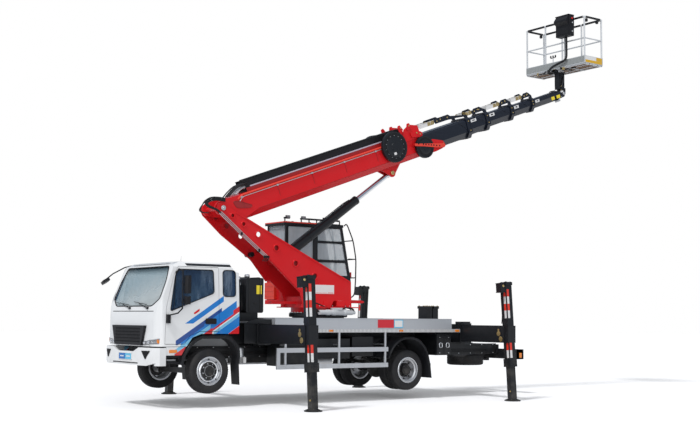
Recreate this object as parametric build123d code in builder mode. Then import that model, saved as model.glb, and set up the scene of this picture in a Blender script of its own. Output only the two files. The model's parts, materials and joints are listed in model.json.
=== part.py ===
"""Truck-mounted cherry picker standing on its four outriggers.

A light two-axle truck carries a slewing turret, a six-section telescopic boom, a control cabin beside
the boom's foot and a work basket at the boom's tip. All sizes are millimetres. Lengths are drawn from the
front axle, positive towards the rear, and the origin lies on the ground at the middle of the whole length.
The truck's left side is at negative Y.
"""
import os
from math import atan2, cos, hypot, radians, sin

from build123d import *

# Running gear
AXLE_1 = -4880                      # front axle, seen from the origin
WHEELBASE = 4750
TYRE_R = 419
TYRE_W = 245
RIM_LIP_R = 262
RIM_SEAT_R = 248
RIM_WELL_R = 214
FRONT_WHEEL_Z = 678
REAR_WHEEL_Z = 602
FRONT_TYRE_Y = 985                  # middle of the front tyre
REAR_OUTER_Y = 975
REAR_INNER_Y = 697
KINGPIN_Y = 800
SPINDLE_R = 34
RUNNING_GAP = 0.08                  # radial gap of a shaft in its hole

# Ladder frame
RAIL_Y = 430                        # outer face of the side rails
RAIL_Z = (880, 1120)
RAIL_X = (-915, 7900)
FLANGE = 72
WEB = 8
SUBFRAME_TOP = 1440
STOWAGE_X = (5484, 5888)            # boxes hung on the rails behind the rear wheels

# Deck behind the cab
DECK_X = (1350, 5850)
DECK_Y = 1220
DECK_TOP = 1668
DECK_EDGE_Z = 1458
SLEW_X = 3200                       # slewing axis
SLEW_RING_R = 600

# Tilting cab
CAB_Y = 1070
CAB_FLOOR_Z = 1365
CAB_SILL_Z = 1135
CAB_WALL = 45
PANEL_GAP = 9
CAB_TOP = 2700
NOSE_X = -1125                      # foremost line of the cab's body

# Outriggers
HOUSING_Z = (1172, 1562)
BEAM_Z = (1190, 1545)
BEAM_T = 120                        # width of one beam; two lie side by side in a housing
LEG_SPLAY = radians(4.4)            # legs lean inwards at the top
SLEEVE = 164
LEG = 134
FOOT_R = 165
#            name     X of the leg   foot Y   half width of the housing
OUTRIGGERS = [("front", 1190, 2775, 1100),
              ("rear", 6260, 2650, 1220)]

# Boom, drawn in its own plane: s along it from the hinge pin, n square to it
PIN_X = 652
PIN_Z = 3814
BOOM_ANGLE = radians(20)
SKIN = 7
#         name               half width  under   over  tail   head   collar
SECTIONS = [("boom_base", 270, -370, 132, 330, 5460, 0),
            ("boom_section_2", 238, -322, 108, 2050, 7040, 120),
            ("boom_section_3", 212, -290, 86, 2720, 7690, 110),
            ("boom_section_4", 187, -259, 66, 3390, 8560, 100),
            ("boom_section_5", 163, -229, 47, 4060, 9330, 90),
            ("boom_section_6", 139, -200, 29, 4730, 10330, 0)]
COLLAR_RISE = 30
TIP_S = 10500                       # basket levelling pin
TIP_N = -85

# Lift cylinder, in the boom's middle plane
LIFT_FOOT = (2200, 2826)
LIFT_EYE_S = 4545
LIFT_EYE_N = -510
BARREL_R = 92
BARREL_END = 2420                   # from the foot pin to the gland
ROD_R = 52
ROD_REACH = 2430                    # from the eye to the piston's face

# Turret
PLATE_Y = 350                       # outer face of the side plates
PLATE_T = 16

# Control cabin on the turret, a frame with a sloping front on a low tub
CABIN_X = (2660, 4385)
CABIN_Y = (450, 1180)
CABIN_Z = (2050, 3694)
CABIN_SILL_Z = 2450
CABIN_FRONT = [(4385, CABIN_SILL_Z), (4130, CABIN_Z[1])]
CABIN_POST = 55
CABIN_DOOR_X = (2724, 4046)

# Work basket
BASKET_X = (10350, 11000)
BASKET_Y = 1000
BASKET_FLOOR = 8000
BASKET_TOP = 9110
MAST_X = 10520


def side(y):
    """Plane of the left side view at a given Y: local x runs rearward, local y up, extrusions go left."""
    return Plane(origin=(AXLE_1, y, 0), x_dir=(1, 0, 0), z_dir=(0, -1, 0))


def across(x):
    """Plane across the truck: local x runs right, local y up, extrusions go rearward."""
    return Plane(origin=(AXLE_1 + x, 0, 0), x_dir=(0, 1, 0), z_dir=(1, 0, 0))


def plan(z):
    """Level plane: local x runs rearward, local y right, extrusions go up."""
    return Plane(origin=(AXLE_1, 0, z), x_dir=(1, 0, 0), z_dir=(0, 0, 1))


def boom_point(s, n):
    """Side-view X and Z of a point given along and square to the boom."""
    x = PIN_X + s * cos(BOOM_ANGLE) - n * sin(BOOM_ANGLE)
    z = PIN_Z + s * sin(BOOM_ANGLE) + n * cos(BOOM_ANGLE)
    return x, z


def boom_side(y):
    """Side-view plane turned with the boom, its zero on the hinge pin."""
    return Plane(origin=(AXLE_1 + PIN_X, y, PIN_Z),
                 x_dir=(cos(BOOM_ANGLE), 0, sin(BOOM_ANGLE)), z_dir=(0, -1, 0))


def boom_cross(s):
    """Plane square to the boom at s: local x runs right, local y up out of the boom."""
    x, z = boom_point(s, 0)
    return Plane(origin=(AXLE_1 + x, 0, z), x_dir=(0, 1, 0), z_dir=(cos(BOOM_ANGLE), 0, sin(BOOM_ANGLE)))


def block(x, y, z, mode=Mode.ADD):
    """A box between two limits on each axis."""
    with Locations((AXLE_1 + (x[0] + x[1]) / 2, (y[0] + y[1]) / 2, (z[0] + z[1]) / 2)):
        Box(x[1] - x[0], y[1] - y[0], z[1] - z[0], mode=mode)


def plate(plane, outline, thickness, mode=Mode.ADD, corner=0):
    """A flat plate cut to an outline of corner points, its corners rounded if a radius is given."""
    with BuildSketch(plane) as cut:
        with BuildLine():
            Polyline(*outline, close=True)
        make_face()
        if corner:
            fillet(cut.vertices(), corner)
    extrude(cut.sketch, amount=thickness, mode=mode)


def disc(plane, at, radius, thickness, hole=0, mode=Mode.ADD):
    """A round plate, ring or pin."""
    with BuildSketch(plane) as ring:
        with Locations(at):
            Circle(radius)
            if hole:
                Circle(hole, mode=Mode.SUBTRACT)
    extrude(ring.sketch, amount=thickness, mode=mode)


def round_bar(points, radius):
    """A bent round bar: straight runs between points, with a ball at each bend."""
    spots = [Vector(AXLE_1 + x, y, z) for x, y, z in points]
    for start, end in zip(spots, spots[1:]):
        with BuildSketch(Plane(origin=start, z_dir=end - start)) as section:
            Circle(radius)
        extrude(section.sketch, amount=(end - start).length)
    with Locations(*spots):
        Sphere(radius)


def save(piece, name):
    """Label a finished piece and write it."""
    piece.part.label = name
    export_step(piece.part, f"parts/{name}.step")


os.makedirs("parts", exist_ok=True)
SIDES = [("left", -1), ("right", 1)]


# Ladder frame with its cross-members, subframe and rear underrun bar
with BuildPart() as chassis_frame:
    for hand in (-1, 1):
        web_y = hand * RAIL_Y
        flange_y = hand * (RAIL_Y - FLANGE)
        with BuildSketch(across(RAIL_X[0])):
            with BuildLine():
                Polyline((web_y, RAIL_Z[0]), (web_y, RAIL_Z[1]), (flange_y, RAIL_Z[1]),
                         (flange_y, RAIL_Z[1] - WEB), (web_y - hand * WEB, RAIL_Z[1] - WEB),
                         (web_y - hand * WEB, RAIL_Z[0] + WEB), (flange_y, RAIL_Z[0] + WEB),
                         (flange_y, RAIL_Z[0]), close=True)
            make_face()
        extrude(amount=RAIL_X[1] - RAIL_X[0])
        subframe = sorted((flange_y, web_y))
        block((1360, 6090), subframe, (RAIL_Z[1], SUBFRAME_TOP))
    inside = RAIL_Y - WEB
    for x in (-880, 900, 2100, 4120, 5400, 6700, 7840):
        block((x - 30, x + 30), (-inside, inside), (RAIL_Z[0] + 40, RAIL_Z[1] - WEB))
    for x in (2450, 3950):
        block((x - 60, x + 60), (-inside, inside), (RAIL_Z[1] - 100, SUBFRAME_TOP))
    block((7900, 8080), (-1100, 1100), (780, 1000))
    block((5950, 6420), (-1000, 1000), (1060, HOUSING_Z[0] - 4))
    for hand in (-1, 1):
        block(STOWAGE_X, sorted((hand * (RAIL_Y - WEB), hand * 1150)), (900, 1345))
save(chassis_frame, "chassis_frame")

# Engine, gearbox and radiator as one block between the rails under the cab
with BuildPart() as engine:
    block((-290, 850), (-300, 300), (800, 1290))
save(engine, "engine")


def leaf_spring(x, z_axle, y):
    """A bowed pack of leaves over an axle, hung between two eyes under the frame."""
    reach = 640
    eye_z = RAIL_Z[0] - 60
    saddle_z = z_axle + 95
    with BuildSketch(side(y + 35)) as pack:
        with BuildLine():
            ThreePointArc((x - reach, eye_z), (x, saddle_z), (x + reach, eye_z))
            Line((x + reach, eye_z), (x + reach, eye_z + 30))
            ThreePointArc((x + reach, eye_z + 30), (x, saddle_z + 70), (x - reach, eye_z + 30))
            Line((x - reach, eye_z + 30), (x - reach, eye_z))
        make_face()
    extrude(pack.sketch, amount=70)
    for eye in (x - reach, x + reach):
        disc(side(y + 35), (eye, eye_z + 15), 38, 70)
        block((eye - 22, eye + 22), (y - 30, y + 30), (eye_z + 15, RAIL_Z[0]))
    block((x - 70, x + 70), (y - 50, y + 50), (z_axle + 20, saddle_z + 60))


# Front axle beam with its leaf springs
with BuildPart() as front_axle:
    block((-45, 45), (-700, 700), (FRONT_WHEEL_Z - 75, FRONT_WHEEL_Z + 25))
    for hand in (-1, 1):
        limits = sorted((hand * 690, hand * KINGPIN_Y))
        block((-38, 38), limits, (FRONT_WHEEL_Z - 55, FRONT_WHEEL_Z + 55))
        disc(plan(FRONT_WHEEL_Z - 55), (0, hand * KINGPIN_Y), 44, 110)
        disc(plan(FRONT_WHEEL_Z - 56), (0, hand * KINGPIN_Y), 20 + RUNNING_GAP, 112, mode=Mode.SUBTRACT)
        leaf_spring(0, FRONT_WHEEL_Z, hand * 394)
save(front_axle, "front_axle")

# Rear axle casing with its differential and leaf springs
with BuildPart() as rear_axle:
    with Locations((AXLE_1 + WHEELBASE, 0, REAR_WHEEL_Z)):
        Sphere(200)
        with Locations((0, 0, 0)):
            Cylinder(66, 2 * 600, rotation=(90, 0, 0))
            Cylinder(SPINDLE_R, 2 * 1010, rotation=(90, 0, 0))
    for hand in (-1, 1):
        leaf_spring(WHEELBASE, REAR_WHEEL_Z, hand * 394)
save(rear_axle, "rear_axle")


def tyre_ring(x, y, z):
    """A tyre: rounded tread and sidewalls down to the beads, turned about its own axle line."""
    half = TYRE_W / 2
    with BuildSketch(across(x)) as outline:
        with BuildLine():
            toe_out = (y + half - 18, z + RIM_LIP_R + 2)
            toe_in = (y - half + 18, z + RIM_LIP_R + 2)
            Polyline(toe_in, (y - half + 26, z + RIM_SEAT_R), (y + half - 26, z + RIM_SEAT_R), toe_out)
            ThreePointArc(toe_out, (y + half, z + 330), (y + half - 22, z + TYRE_R - 16))
            Line((y + half - 22, z + TYRE_R - 16), (y + half - 40, z + TYRE_R))
            Line((y + half - 40, z + TYRE_R), (y - half + 40, z + TYRE_R))
            Line((y - half + 40, z + TYRE_R), (y - half + 22, z + TYRE_R - 16))
            ThreePointArc((y - half + 22, z + TYRE_R - 16), (y - half, z + 330), toe_in)
        make_face()
    revolve(outline.sketch, axis=Axis((AXLE_1 + x, 0, z), (0, 1, 0)))


def turned(x, z, outline):
    """Turn a closed outline, given as Y and radius, about the wheel's axle line."""
    with BuildSketch(across(x)) as shape:
        with BuildLine():
            Polyline(*[(y, z + r) for y, r in outline], close=True)
        make_face()
    revolve(shape.sketch, axis=Axis((AXLE_1 + x, 0, z), (0, 1, 0)))


def rim_ring(x, y, z, dish, hand, hub):
    """A pressed rim: two lips, a well, a holed disc set in by the dish and a hub that reaches outwards."""
    lip = TYRE_W / 2 - 14
    bore = SPINDLE_R + RUNNING_GAP
    face = y + hand * dish
    edge = face - hand * 22
    end_in, end_out = face - hand * 60, face + hand * hub
    turned(x, z, [(y - lip - 6, RIM_LIP_R), (y - lip - 6, RIM_SEAT_R - 14), (y - lip + 24, RIM_SEAT_R - 14),
                  (y - lip + 44, RIM_WELL_R - 8), (y + lip - 44, RIM_WELL_R - 8),
                  (y + lip - 24, RIM_SEAT_R - 14), (y + lip + 6, RIM_SEAT_R - 14), (y + lip + 6, RIM_LIP_R),
                  (y + lip, RIM_LIP_R), (y + lip, RIM_SEAT_R - 1), (y + lip - 32, RIM_SEAT_R - 3),
                  (y + lip - 52, RIM_WELL_R), (y - lip + 52, RIM_WELL_R), (y - lip + 32, RIM_SEAT_R - 3),
                  (y - lip, RIM_SEAT_R - 1), (y - lip, RIM_LIP_R)])
    turned(x, z, [(face - 6, bore), (face + 6, bore), (face + 6, 150), (edge + 6, RIM_WELL_R - 4),
                  (edge - 6, RIM_WELL_R - 4), (face - 6, 150)])
    turned(x, z, [(end_in, bore), (end_out, bore), (end_out, 105), (end_in, 105)])
    with BuildSketch(side(face + 60)) as hand_holes:
        with Locations((x, z)):
            with PolarLocations(180, 8):
                Circle(22)
    extrude(hand_holes.sketch, amount=120, mode=Mode.SUBTRACT)


for hand_name, hand in SIDES:
    # Steering knuckle: a yoke over and under the axle's eye, its kingpin and the wheel spindle
    with BuildPart() as knuckle:
        pin_y = hand * KINGPIN_Y
        disc(plan(FRONT_WHEEL_Z - 92), (0, pin_y), 20, 184)
        for low in (FRONT_WHEEL_Z - 92, FRONT_WHEEL_Z + 60):
            disc(plan(low), (0, pin_y), 42, 32)
            block((-36, 36), sorted((pin_y, hand * 884)), (low, low + 32))
        block((-46, 46), sorted((hand * 850, hand * 884)), (FRONT_WHEEL_Z - 92, FRONT_WHEEL_Z + 92))
        disc(side(hand * 960 + 85), (0, FRONT_WHEEL_Z), SPINDLE_R, 170)
    save(knuckle, f"knuckle_{hand_name}")

    with BuildPart() as front_tyre:
        tyre_ring(0, hand * FRONT_TYRE_Y, FRONT_WHEEL_Z)
    save(front_tyre, f"tyre_front_{hand_name}")

    with BuildPart() as front_rim:
        rim_ring(0, hand * FRONT_TYRE_Y, FRONT_WHEEL_Z, 60, hand, 52)
    save(front_rim, f"rim_front_{hand_name}")

    with BuildPart() as rear_tyre:
        tyre_ring(WHEELBASE, hand * REAR_OUTER_Y, REAR_WHEEL_Z)
        tyre_ring(WHEELBASE, hand * REAR_INNER_Y, REAR_WHEEL_Z)
    save(rear_tyre, f"tyres_rear_{hand_name}")

    with BuildPart() as rear_rim:
        rim_ring(WHEELBASE, hand * REAR_OUTER_Y, REAR_WHEEL_Z, -24, hand, 90)
        rim_ring(WHEELBASE, hand * REAR_INNER_Y, REAR_WHEEL_Z, 60, hand, 140)
    save(rear_rim, f"rims_rear_{hand_name}")

with BuildPart() as spare_wheel:
    spare_x = 7330
    disc(plan(628), (spare_x, 0), TYRE_R, TYRE_W, hole=RIM_SEAT_R)
    disc(plan(720), (spare_x, 0), RIM_SEAT_R, 30)
    fillet(spare_wheel.edges().filter_by(GeomType.CIRCLE).filter_by(lambda e: e.radius > TYRE_R - 1), 50)
    block((spare_x - 30, spare_x + 30), (-40, 40), (740, RAIL_Z[0] + 60))
    block((spare_x - 40, spare_x + 40), (-RAIL_Y + WEB, RAIL_Y - WEB), (RAIL_Z[0] + 20, RAIL_Z[0] + 60))
save(spare_wheel, "spare_wheel")


def cab_form(inset):
    """The cab's outer or inner form: its side, front and plan outlines carried through each other."""
    i = inset
    with BuildPart(mode=Mode.PRIVATE) as form:
        with BuildSketch(side(1300)):
            with BuildLine():
                front_low = (NOSE_X + i, CAB_SILL_Z + i)
                front_mid = (NOSE_X + 10 + i, 1430)
                front_waist = (-1042 + i, 1860)
                front_top = (-735 + i, 2640 - i)
                roof_front = (-600 + i, CAB_TOP - i)
                roof_rear = (480 - i, CAB_TOP - i)
                back_top = (640 - i, 2520 - i)
                Line(front_low, front_mid)
                Line(front_mid, front_waist)
                Line(front_waist, front_top)
                Line(front_top, roof_front)
                Line(roof_front, roof_rear)
                RadiusArc(roof_rear, back_top, -170)
                Line(back_top, (640 - i, CAB_FLOOR_Z + i))
                Line((640 - i, CAB_FLOOR_Z + i), (-170 - i / 2, CAB_FLOOR_Z + i))
                Line((-170 - i / 2, CAB_FLOOR_Z + i), (-355 - i / 2, 1300 + i))
                Line((-355 - i / 2, 1300 + i), (-475 - i / 2, CAB_SILL_Z + i))
                Line((-475 - i / 2, CAB_SILL_Z + i), front_low)
            make_face()
        extrude(amount=2600)
        with BuildSketch(across(-1300)):
            with BuildLine():
                Polyline((-CAB_Y + i, 1000), (-CAB_Y + i, 1780), (-1020 + i, 2600 - i),
                         (-930 + i, CAB_TOP - i), (930 - i, CAB_TOP - i), (1020 - i, 2600 - i),
                         (CAB_Y - i, 1780), (CAB_Y - i, 1000), close=True)
            make_face()
        extrude(amount=2200, mode=Mode.INTERSECT)
        with BuildSketch(plan(900)):
            with BuildLine():
                ThreePointArc((-1080 + i, -880 + i), (NOSE_X + i, 0), (-1080 + i, 880 - i))
                ThreePointArc((-1080 + i, 880 - i), (-1030 + i, 1010 - i), (-900 + i, CAB_Y - i))
                Line((-900 + i, CAB_Y - i), (800, CAB_Y - i))
                Line((800, CAB_Y - i), (800, -CAB_Y + i))
                Line((800, -CAB_Y + i), (-900 + i, -CAB_Y + i))
                ThreePointArc((-900 + i, -CAB_Y + i), (-1030 + i, -1010 + i), (-1080 + i, -880 + i))
            make_face()
        extrude(amount=2000, mode=Mode.INTERSECT)
    return form.part


CAB_OUTER = cab_form(0)
CAB_INNER = cab_form(CAB_WALL)


#            X      Z
DOOR_HOLE = [(-925, 1174), (-515, 1174), (-402, 1330), (-200, 1404), (205, 1404), (205, 2612), (-655, 2612),
             (-748, 2440), (-905, 1850)]
DOOR_WINDOW = [(-822, 1778), (-712, 2450), (-640, 2555), (85, 2555), (100, 2125)]
QUARTER_WINDOW = [(290, 2065), (290, 2560), (565, 2560), (565, 2065)]
#            Y     Z
WINDSCREEN = [(-750, 1872), (-965, 2010), (-945, 2340), (-850, 2612), (850, 2612), (945, 2340), (965, 2010),
              (750, 1872)]
REAR_WINDOW = [(-450, 2000), (-450, 2400), (450, 2400), (450, 2000)]
GLASS_INSET = (14, 20)              # outer and inner faces of the panes, in from the cab's outside
FLANK_Y = 978                       # openings in the cab's sides are cut from here outwards


def prism(plane, outline, corner, inset, depth):
    """A prism through the cab's wall, its outline drawn in by a gap."""
    with BuildPart(mode=Mode.PRIVATE) as cutter:
        with BuildSketch(plane) as shape:
            with BuildLine():
                Polyline(*outline, close=True)
            make_face()
            fillet(shape.vertices(), corner)
            if inset:
                offset(amount=-inset, mode=Mode.REPLACE)
        extrude(amount=depth)
    return cutter.part


def flank(hand, outline, corner, inset):
    """The same prism through the left or the right wall."""
    start = -FLANK_Y if hand < 0 else FLANK_Y + 230
    return prism(side(start), outline, corner, inset, 230)


CAB_PANES = cab_form(GLASS_INSET[0]) - cab_form(GLASS_INSET[1])

# Cab body: hollow, with its door openings and windows cut
with BuildPart() as cab_shell:
    add(CAB_OUTER)
    add(CAB_INNER, mode=Mode.SUBTRACT)
    for hand in (-1, 1):
        add(flank(hand, DOOR_HOLE, 20, 0), mode=Mode.SUBTRACT)
        add(flank(hand, QUARTER_WINDOW, 60, 0), mode=Mode.SUBTRACT)
    add(prism(across(-1300), WINDSCREEN, 40, 0, 650), mode=Mode.SUBTRACT)
    add(prism(across(560), REAR_WINDOW, 60, 0, 200), mode=Mode.SUBTRACT)
save(cab_shell, "cab_shell")

with BuildPart() as cab_glass:
    add(CAB_PANES)
    openings = [prism(across(-1300), WINDSCREEN, 40, 0, 650), prism(across(560), REAR_WINDOW, 60, 0, 200)]
    openings += [flank(hand, QUARTER_WINDOW, 60, 0) for hand in (-1, 1)]
    add(openings, mode=Mode.INTERSECT)
save(cab_glass, "cab_glass")

for hand_name, hand in SIDES:
    with BuildPart() as door:
        add(CAB_OUTER)
        add(CAB_INNER, mode=Mode.SUBTRACT)
        add(flank(hand, DOOR_HOLE, 20, PANEL_GAP), mode=Mode.INTERSECT)
        add(flank(hand, DOOR_WINDOW, 30, 0), mode=Mode.SUBTRACT)
        grip = sorted((hand * CAB_Y, hand * (CAB_Y + 32)))
        block((-75, 115), grip, (1575, 1630))
    save(door, f"door_{hand_name}")

    with BuildPart() as door_glass:
        add(CAB_PANES)
        add(flank(hand, DOOR_WINDOW, 30, 0), mode=Mode.INTERSECT)
    save(door_glass, f"door_glass_{hand_name}")

# Seats, dashboard and steering wheel
with BuildPart() as cab_interior:
    add(CAB_INNER)
    block((-1300, -690), (-950, 950), (1560, 1790), mode=Mode.INTERSECT)
    seat_floor = CAB_FLOOR_Z + CAB_WALL
    for seat_y in (-560, 560):
        block((-330, 130), (seat_y - 180, seat_y + 180), (seat_floor, 1620))
        block((-380, 160), (seat_y - 240, seat_y + 240), (1620, 1740))
        block((150, 290), (seat_y - 230, seat_y + 230), (1640, 2230))
        block((170, 260), (seat_y - 130, seat_y + 130), (2250, 2400))
        block((200, 230), (seat_y - 60, seat_y + 60), (2200, 2300))
    with BuildSketch(Plane(origin=(AXLE_1 - 600, -560, 1800), z_dir=(-0.5, 0, 0.87))) as column:
        Circle(28)
    extrude(column.sketch, amount=150, both=True)
    with Locations(Plane(origin=(AXLE_1 - 540, -560, 1940), z_dir=(-0.5, 0, 0.87))):
        Torus(215, 16)
        Box(420, 40, 24)
save(cab_interior, "cab_interior")

# Barred grille on the nose of the cab, with a dark strip that runs down to the bumper
GRILLE_X = -1152
#          Y    Z
GRILLE = [(-680, 1515), (680, 1515), (560, 1150), (-560, 1150)]
with BuildPart() as grille:
    plate(across(GRILLE_X), GRILLE, 80)
    add(CAB_OUTER, mode=Mode.SUBTRACT)
    for z in (1205, 1265, 1325, 1385, 1445):
        block((GRILLE_X - 1, GRILLE_X + 14), (-520, 520), (z, z + 26), mode=Mode.SUBTRACT)
save(grille, "grille")

# Slim headlamps that wrap round the corners of the nose
with BuildPart() as headlamps:
    add(cab_form(-8))
    with BuildPart(mode=Mode.PRIVATE) as lens:
        for hand in (-1, 1):
            plate(across(-1300), [(hand * 700, 1240), (hand * 1035, 1278), (hand * 1020, 1185), (hand * 700, 1165)],
                  330)
            plate(across(-1300), [(hand * 540, 1226), (hand * 705, 1240), (hand * 705, 1165), (hand * 575, 1160)],
                  330)
    add(lens.part, mode=Mode.INTERSECT)
    add(CAB_OUTER, mode=Mode.SUBTRACT)
    add(grille.part, mode=Mode.SUBTRACT)
save(headlamps, "headlamps")

# Front bumper: a wrap-round wall, dipped in the middle, with lamp recesses and the panels behind it
BUMPER_TOP = 1112
with BuildPart() as front_bumper:
    with BuildSketch(plan(785)) as wrap:
        with BuildLine():
            Polyline((-900, -1085), (-1025, -1085), (-1105, -1010), (-1158, -850), (-1186, -560), (-1186, 560),
                     (-1158, 850), (-1105, 1010), (-1025, 1085), (-900, 1085), (-900, 1047), (-1012, 1047),
                     (-1074, 988), (-1122, 842), (-1148, 556), (-1148, -556), (-1122, -842), (-1074, -988),
                     (-1012, -1047), (-900, -1047), close=True)
        make_face()
    extrude(wrap.sketch, amount=BUMPER_TOP - 785)
    plate(across(-1200), [(-540, BUMPER_TOP + 1), (-330, 1036), (330, 1036), (540, BUMPER_TOP + 1)], 60,
          mode=Mode.SUBTRACT)
    for hand in (-1, 1):
        plate(across(-1200), [(hand * 660, 1050), (hand * 905, 1056), (hand * 790, 905)], 36, mode=Mode.SUBTRACT)
        plate(across(-1200), [(hand * 800, 784), (hand * 1090, 784), (hand * 1090, 850)], 120, mode=Mode.SUBTRACT)
        block((-1149, -925), sorted((hand * (RAIL_Y - FLANGE), hand * RAIL_Y)), (870, 1030))
        start = -CAB_Y + 30 if hand < 0 else CAB_Y
        plate(side(start), [(-905, 975), (-575, 975), (-490, 1127), (-885, 1127), (-885, 1100), (-905, 1100)], 30)
save(front_bumper, "front_bumper")

# Mudguards over the front wheels and behind the rear ones, and the steps under the doors
with BuildPart() as mudguards:
    for hand in (-1, 1):
        start = -860 if hand < 0 else 1100
        with BuildSketch(side(start)) as arch:
            with BuildLine():
                ThreePointArc((-600, 800), (-420, 1165), (-170, 1325))
                Line((-170, 1325), (380, 1330))
                ThreePointArc((380, 1330), (520, 1250), (620, 780))
                Line((620, 780), (640, 410))
                Line((640, 410), (615, 410))
                Line((615, 410), (580, 780))
                ThreePointArc((580, 780), (500, 1180), (350, 1275))
                Line((350, 1275), (-160, 1275))
                ThreePointArc((-160, 1275), (-385, 1130), (-550, 800))
                Line((-550, 800), (-600, 800))
            make_face()
        extrude(arch.sketch, amount=240)
        start = -560 if hand < 0 else 1180
        with BuildSketch(side(start)) as rear_arch:
            with BuildLine():
                ThreePointArc((4160, 860), (4750, 1290), (5270, 760))
                Line((5270, 760), (5310, 430))
                Line((5310, 430), (5288, 430))
                Line((5288, 430), (5235, 760))
                ThreePointArc((5235, 760), (4750, 1250), (4190, 850))
                Line((4190, 850), (4160, 860))
            make_face()
        extrude(rear_arch.sketch, amount=620)
        block((-890, -600), sorted((hand * 820, hand * (CAB_Y - 35))), (935, 968))
        block((-890, -830), sorted((hand * RAIL_Y, hand * 830)), (935, 968))
save(mudguards, "mudguards")

# Tank and exhaust on the near side behind the cab
with BuildPart() as fluid_tank:
    block((946, 1342), (-800, -420), (1765, 2446))
    fillet(fluid_tank.edges().filter_by(Axis.Y), 40)
    block((740, 1240), (-760, 760), (1600, 1765))
    for x, y, radius, top in ((800, -705, 58, 2440), (800, -560, 40, 2380), (890, -640, 34, 2330)):
        disc(plan(1700), (x, y), radius, top - 1700)
    block((900, 1030), (-430, -360), (1120, 1600))
    block((900, 1030), (360, 430), (1120, 1600))
save(fluid_tank, "fluid_tank")

# Deck: folded side panels, a floor with the slewing ring's well, and bearers under it
with BuildPart() as deck:
    block(DECK_X, (-DECK_Y, DECK_Y), (DECK_EDGE_Z, DECK_TOP))
    block((DECK_X[0] + 25, DECK_X[1] - 25), (-DECK_Y + 25, DECK_Y - 25), (DECK_EDGE_Z - 10, DECK_TOP - 28),
          mode=Mode.SUBTRACT)
    for x in (1900, 2480, 3920, 4500, 5200):
        block((x - 25, x + 25), (-DECK_Y + 20, DECK_Y - 20), (DECK_EDGE_Z, DECK_TOP - 25))
    disc(plan(DECK_EDGE_Z - 10), (SLEW_X, 0), SLEW_RING_R + 60, 300, mode=Mode.SUBTRACT)
    for hand in (-1, 1):
        rail = sorted((hand * (DECK_Y - 60), hand * DECK_Y))
        block((DECK_X[0], 6090), rail, (1388, DECK_EDGE_Z))
save(deck, "deck")

with BuildPart() as side_guards:
    for hand in (-1, 1):
        skin = sorted((hand * 1190, hand * DECK_Y))
        inner = sorted((hand * 1165, hand * 1190))
        for low in (680, 1000):
            block((1400, 4120), skin, (low, low + 90))
        block((1400, 1480), skin, (700, 1080))
        for x in (1620, 2900, 4070):
            block((x - 22, x + 22), inner, (680, 1386))
            block((x - 22, x + 22), sorted((hand * RAIL_Y, hand * 1190)), (1130, 1160))
save(side_guards, "side_guards")

# Slewing ring on the subframe: drum, toothed ring and centre post
RING_Z = (1690, 1780)
with BuildPart() as slew_ring:
    disc(plan(SUBFRAME_TOP), (SLEW_X, 0), 545, RING_Z[0] - SUBFRAME_TOP, hole=430)
    disc(plan(RING_Z[0]), (SLEW_X, 0), SLEW_RING_R, RING_Z[1] - RING_Z[0], hole=420)
save(slew_ring, "slew_ring")

# Outriggers: twin housings across the frame, beams that slide out of them and legs in sleeves
with BuildPart() as outrigger_housings:
    for _, x, _, half in OUTRIGGERS:
        cavity = BEAM_T + 10
        block((x - cavity - 12, x + cavity + 12), (-half, half), HOUSING_Z)
        block((x - cavity, x + cavity), (-half - 10, half + 10), (HOUSING_Z[0] + 11, HOUSING_Z[1] - 10),
              mode=Mode.SUBTRACT)
    rest_x = OUTRIGGERS[1][1] - 40
    block((rest_x - 165, rest_x + 165), (-150, 150), (HOUSING_Z[1], 1900))
    for x in (rest_x - 100, rest_x + 100):
        block((x - 75, x + 75), (-170, 170), (1900, 1950))
    block((rest_x - 12, rest_x + 12), (-171, 171), (1640, 1951), mode=Mode.SUBTRACT)
save(outrigger_housings, "outrigger_housings")


def leg_plane(x, hand, foot_y):
    """Plane across a leg at its foot: local x rearward, extrusions run up the leg."""
    return Plane(origin=(AXLE_1 + x, hand * foot_y, 0), x_dir=(1, 0, 0),
                 z_dir=(0, -hand * sin(LEG_SPLAY), cos(LEG_SPLAY)))


def leg_block(plane, low, high, x, y, mode=Mode.ADD):
    """A square length of a leg between two heights along it."""
    with BuildSketch(plane.offset(low)) as section:
        with Locations(((x[0] + x[1]) / 2, (y[0] + y[1]) / 2)):
            Rectangle(x[1] - x[0], y[1] - y[0])
    extrude(section.sketch, amount=high - low, mode=mode)


for place, leg_x, foot_y, half in OUTRIGGERS:
    for hand_name, hand in SIDES:
        plane = leg_plane(leg_x, hand, foot_y)
        mid = foot_y - 1370 * sin(LEG_SPLAY)
        with BuildPart() as beam:
            lane = (leg_x - BEAM_T - 5, leg_x - 5) if hand < 0 else (leg_x + 5, leg_x + BEAM_T + 5)
            block(lane, sorted((hand * mid, hand * (mid - 2215))), BEAM_Z)
            block((leg_x - 105, leg_x + 105), sorted((hand * (mid - 95), hand * (mid + 95))), BEAM_Z)
            half_sleeve = SLEEVE / 2
            leg_block(plane, 700, 2400, (-half_sleeve, half_sleeve), (-half_sleeve, half_sleeve))
            leg_block(plane, 700, 860, (-half_sleeve - 16, half_sleeve + 16),
                      (-half_sleeve - 16, half_sleeve + 16))
            bore = LEG / 2 + 7
            leg_block(plane, 650, 2385, (-bore, bore), (-bore, bore), mode=Mode.SUBTRACT)
            leg_block(plane, 2390, 2450, (-95, 95), (-95, 95))
            leg_block(plane, 2240, 2430, (-215, -half_sleeve), (-75, 75))
        save(beam, f"outrigger_beam_{place}_{hand_name}")

        with BuildPart() as leg:
            leg_block(plane, 30, 1650, (-LEG / 2, LEG / 2), (-LEG / 2, LEG / 2))
            disc(plan(0), (leg_x, hand * foot_y), FOOT_R, 22)
            disc(plan(20), (leg_x, hand * foot_y), 60, 30)
        save(leg, f"outrigger_leg_{place}_{hand_name}")

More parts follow.
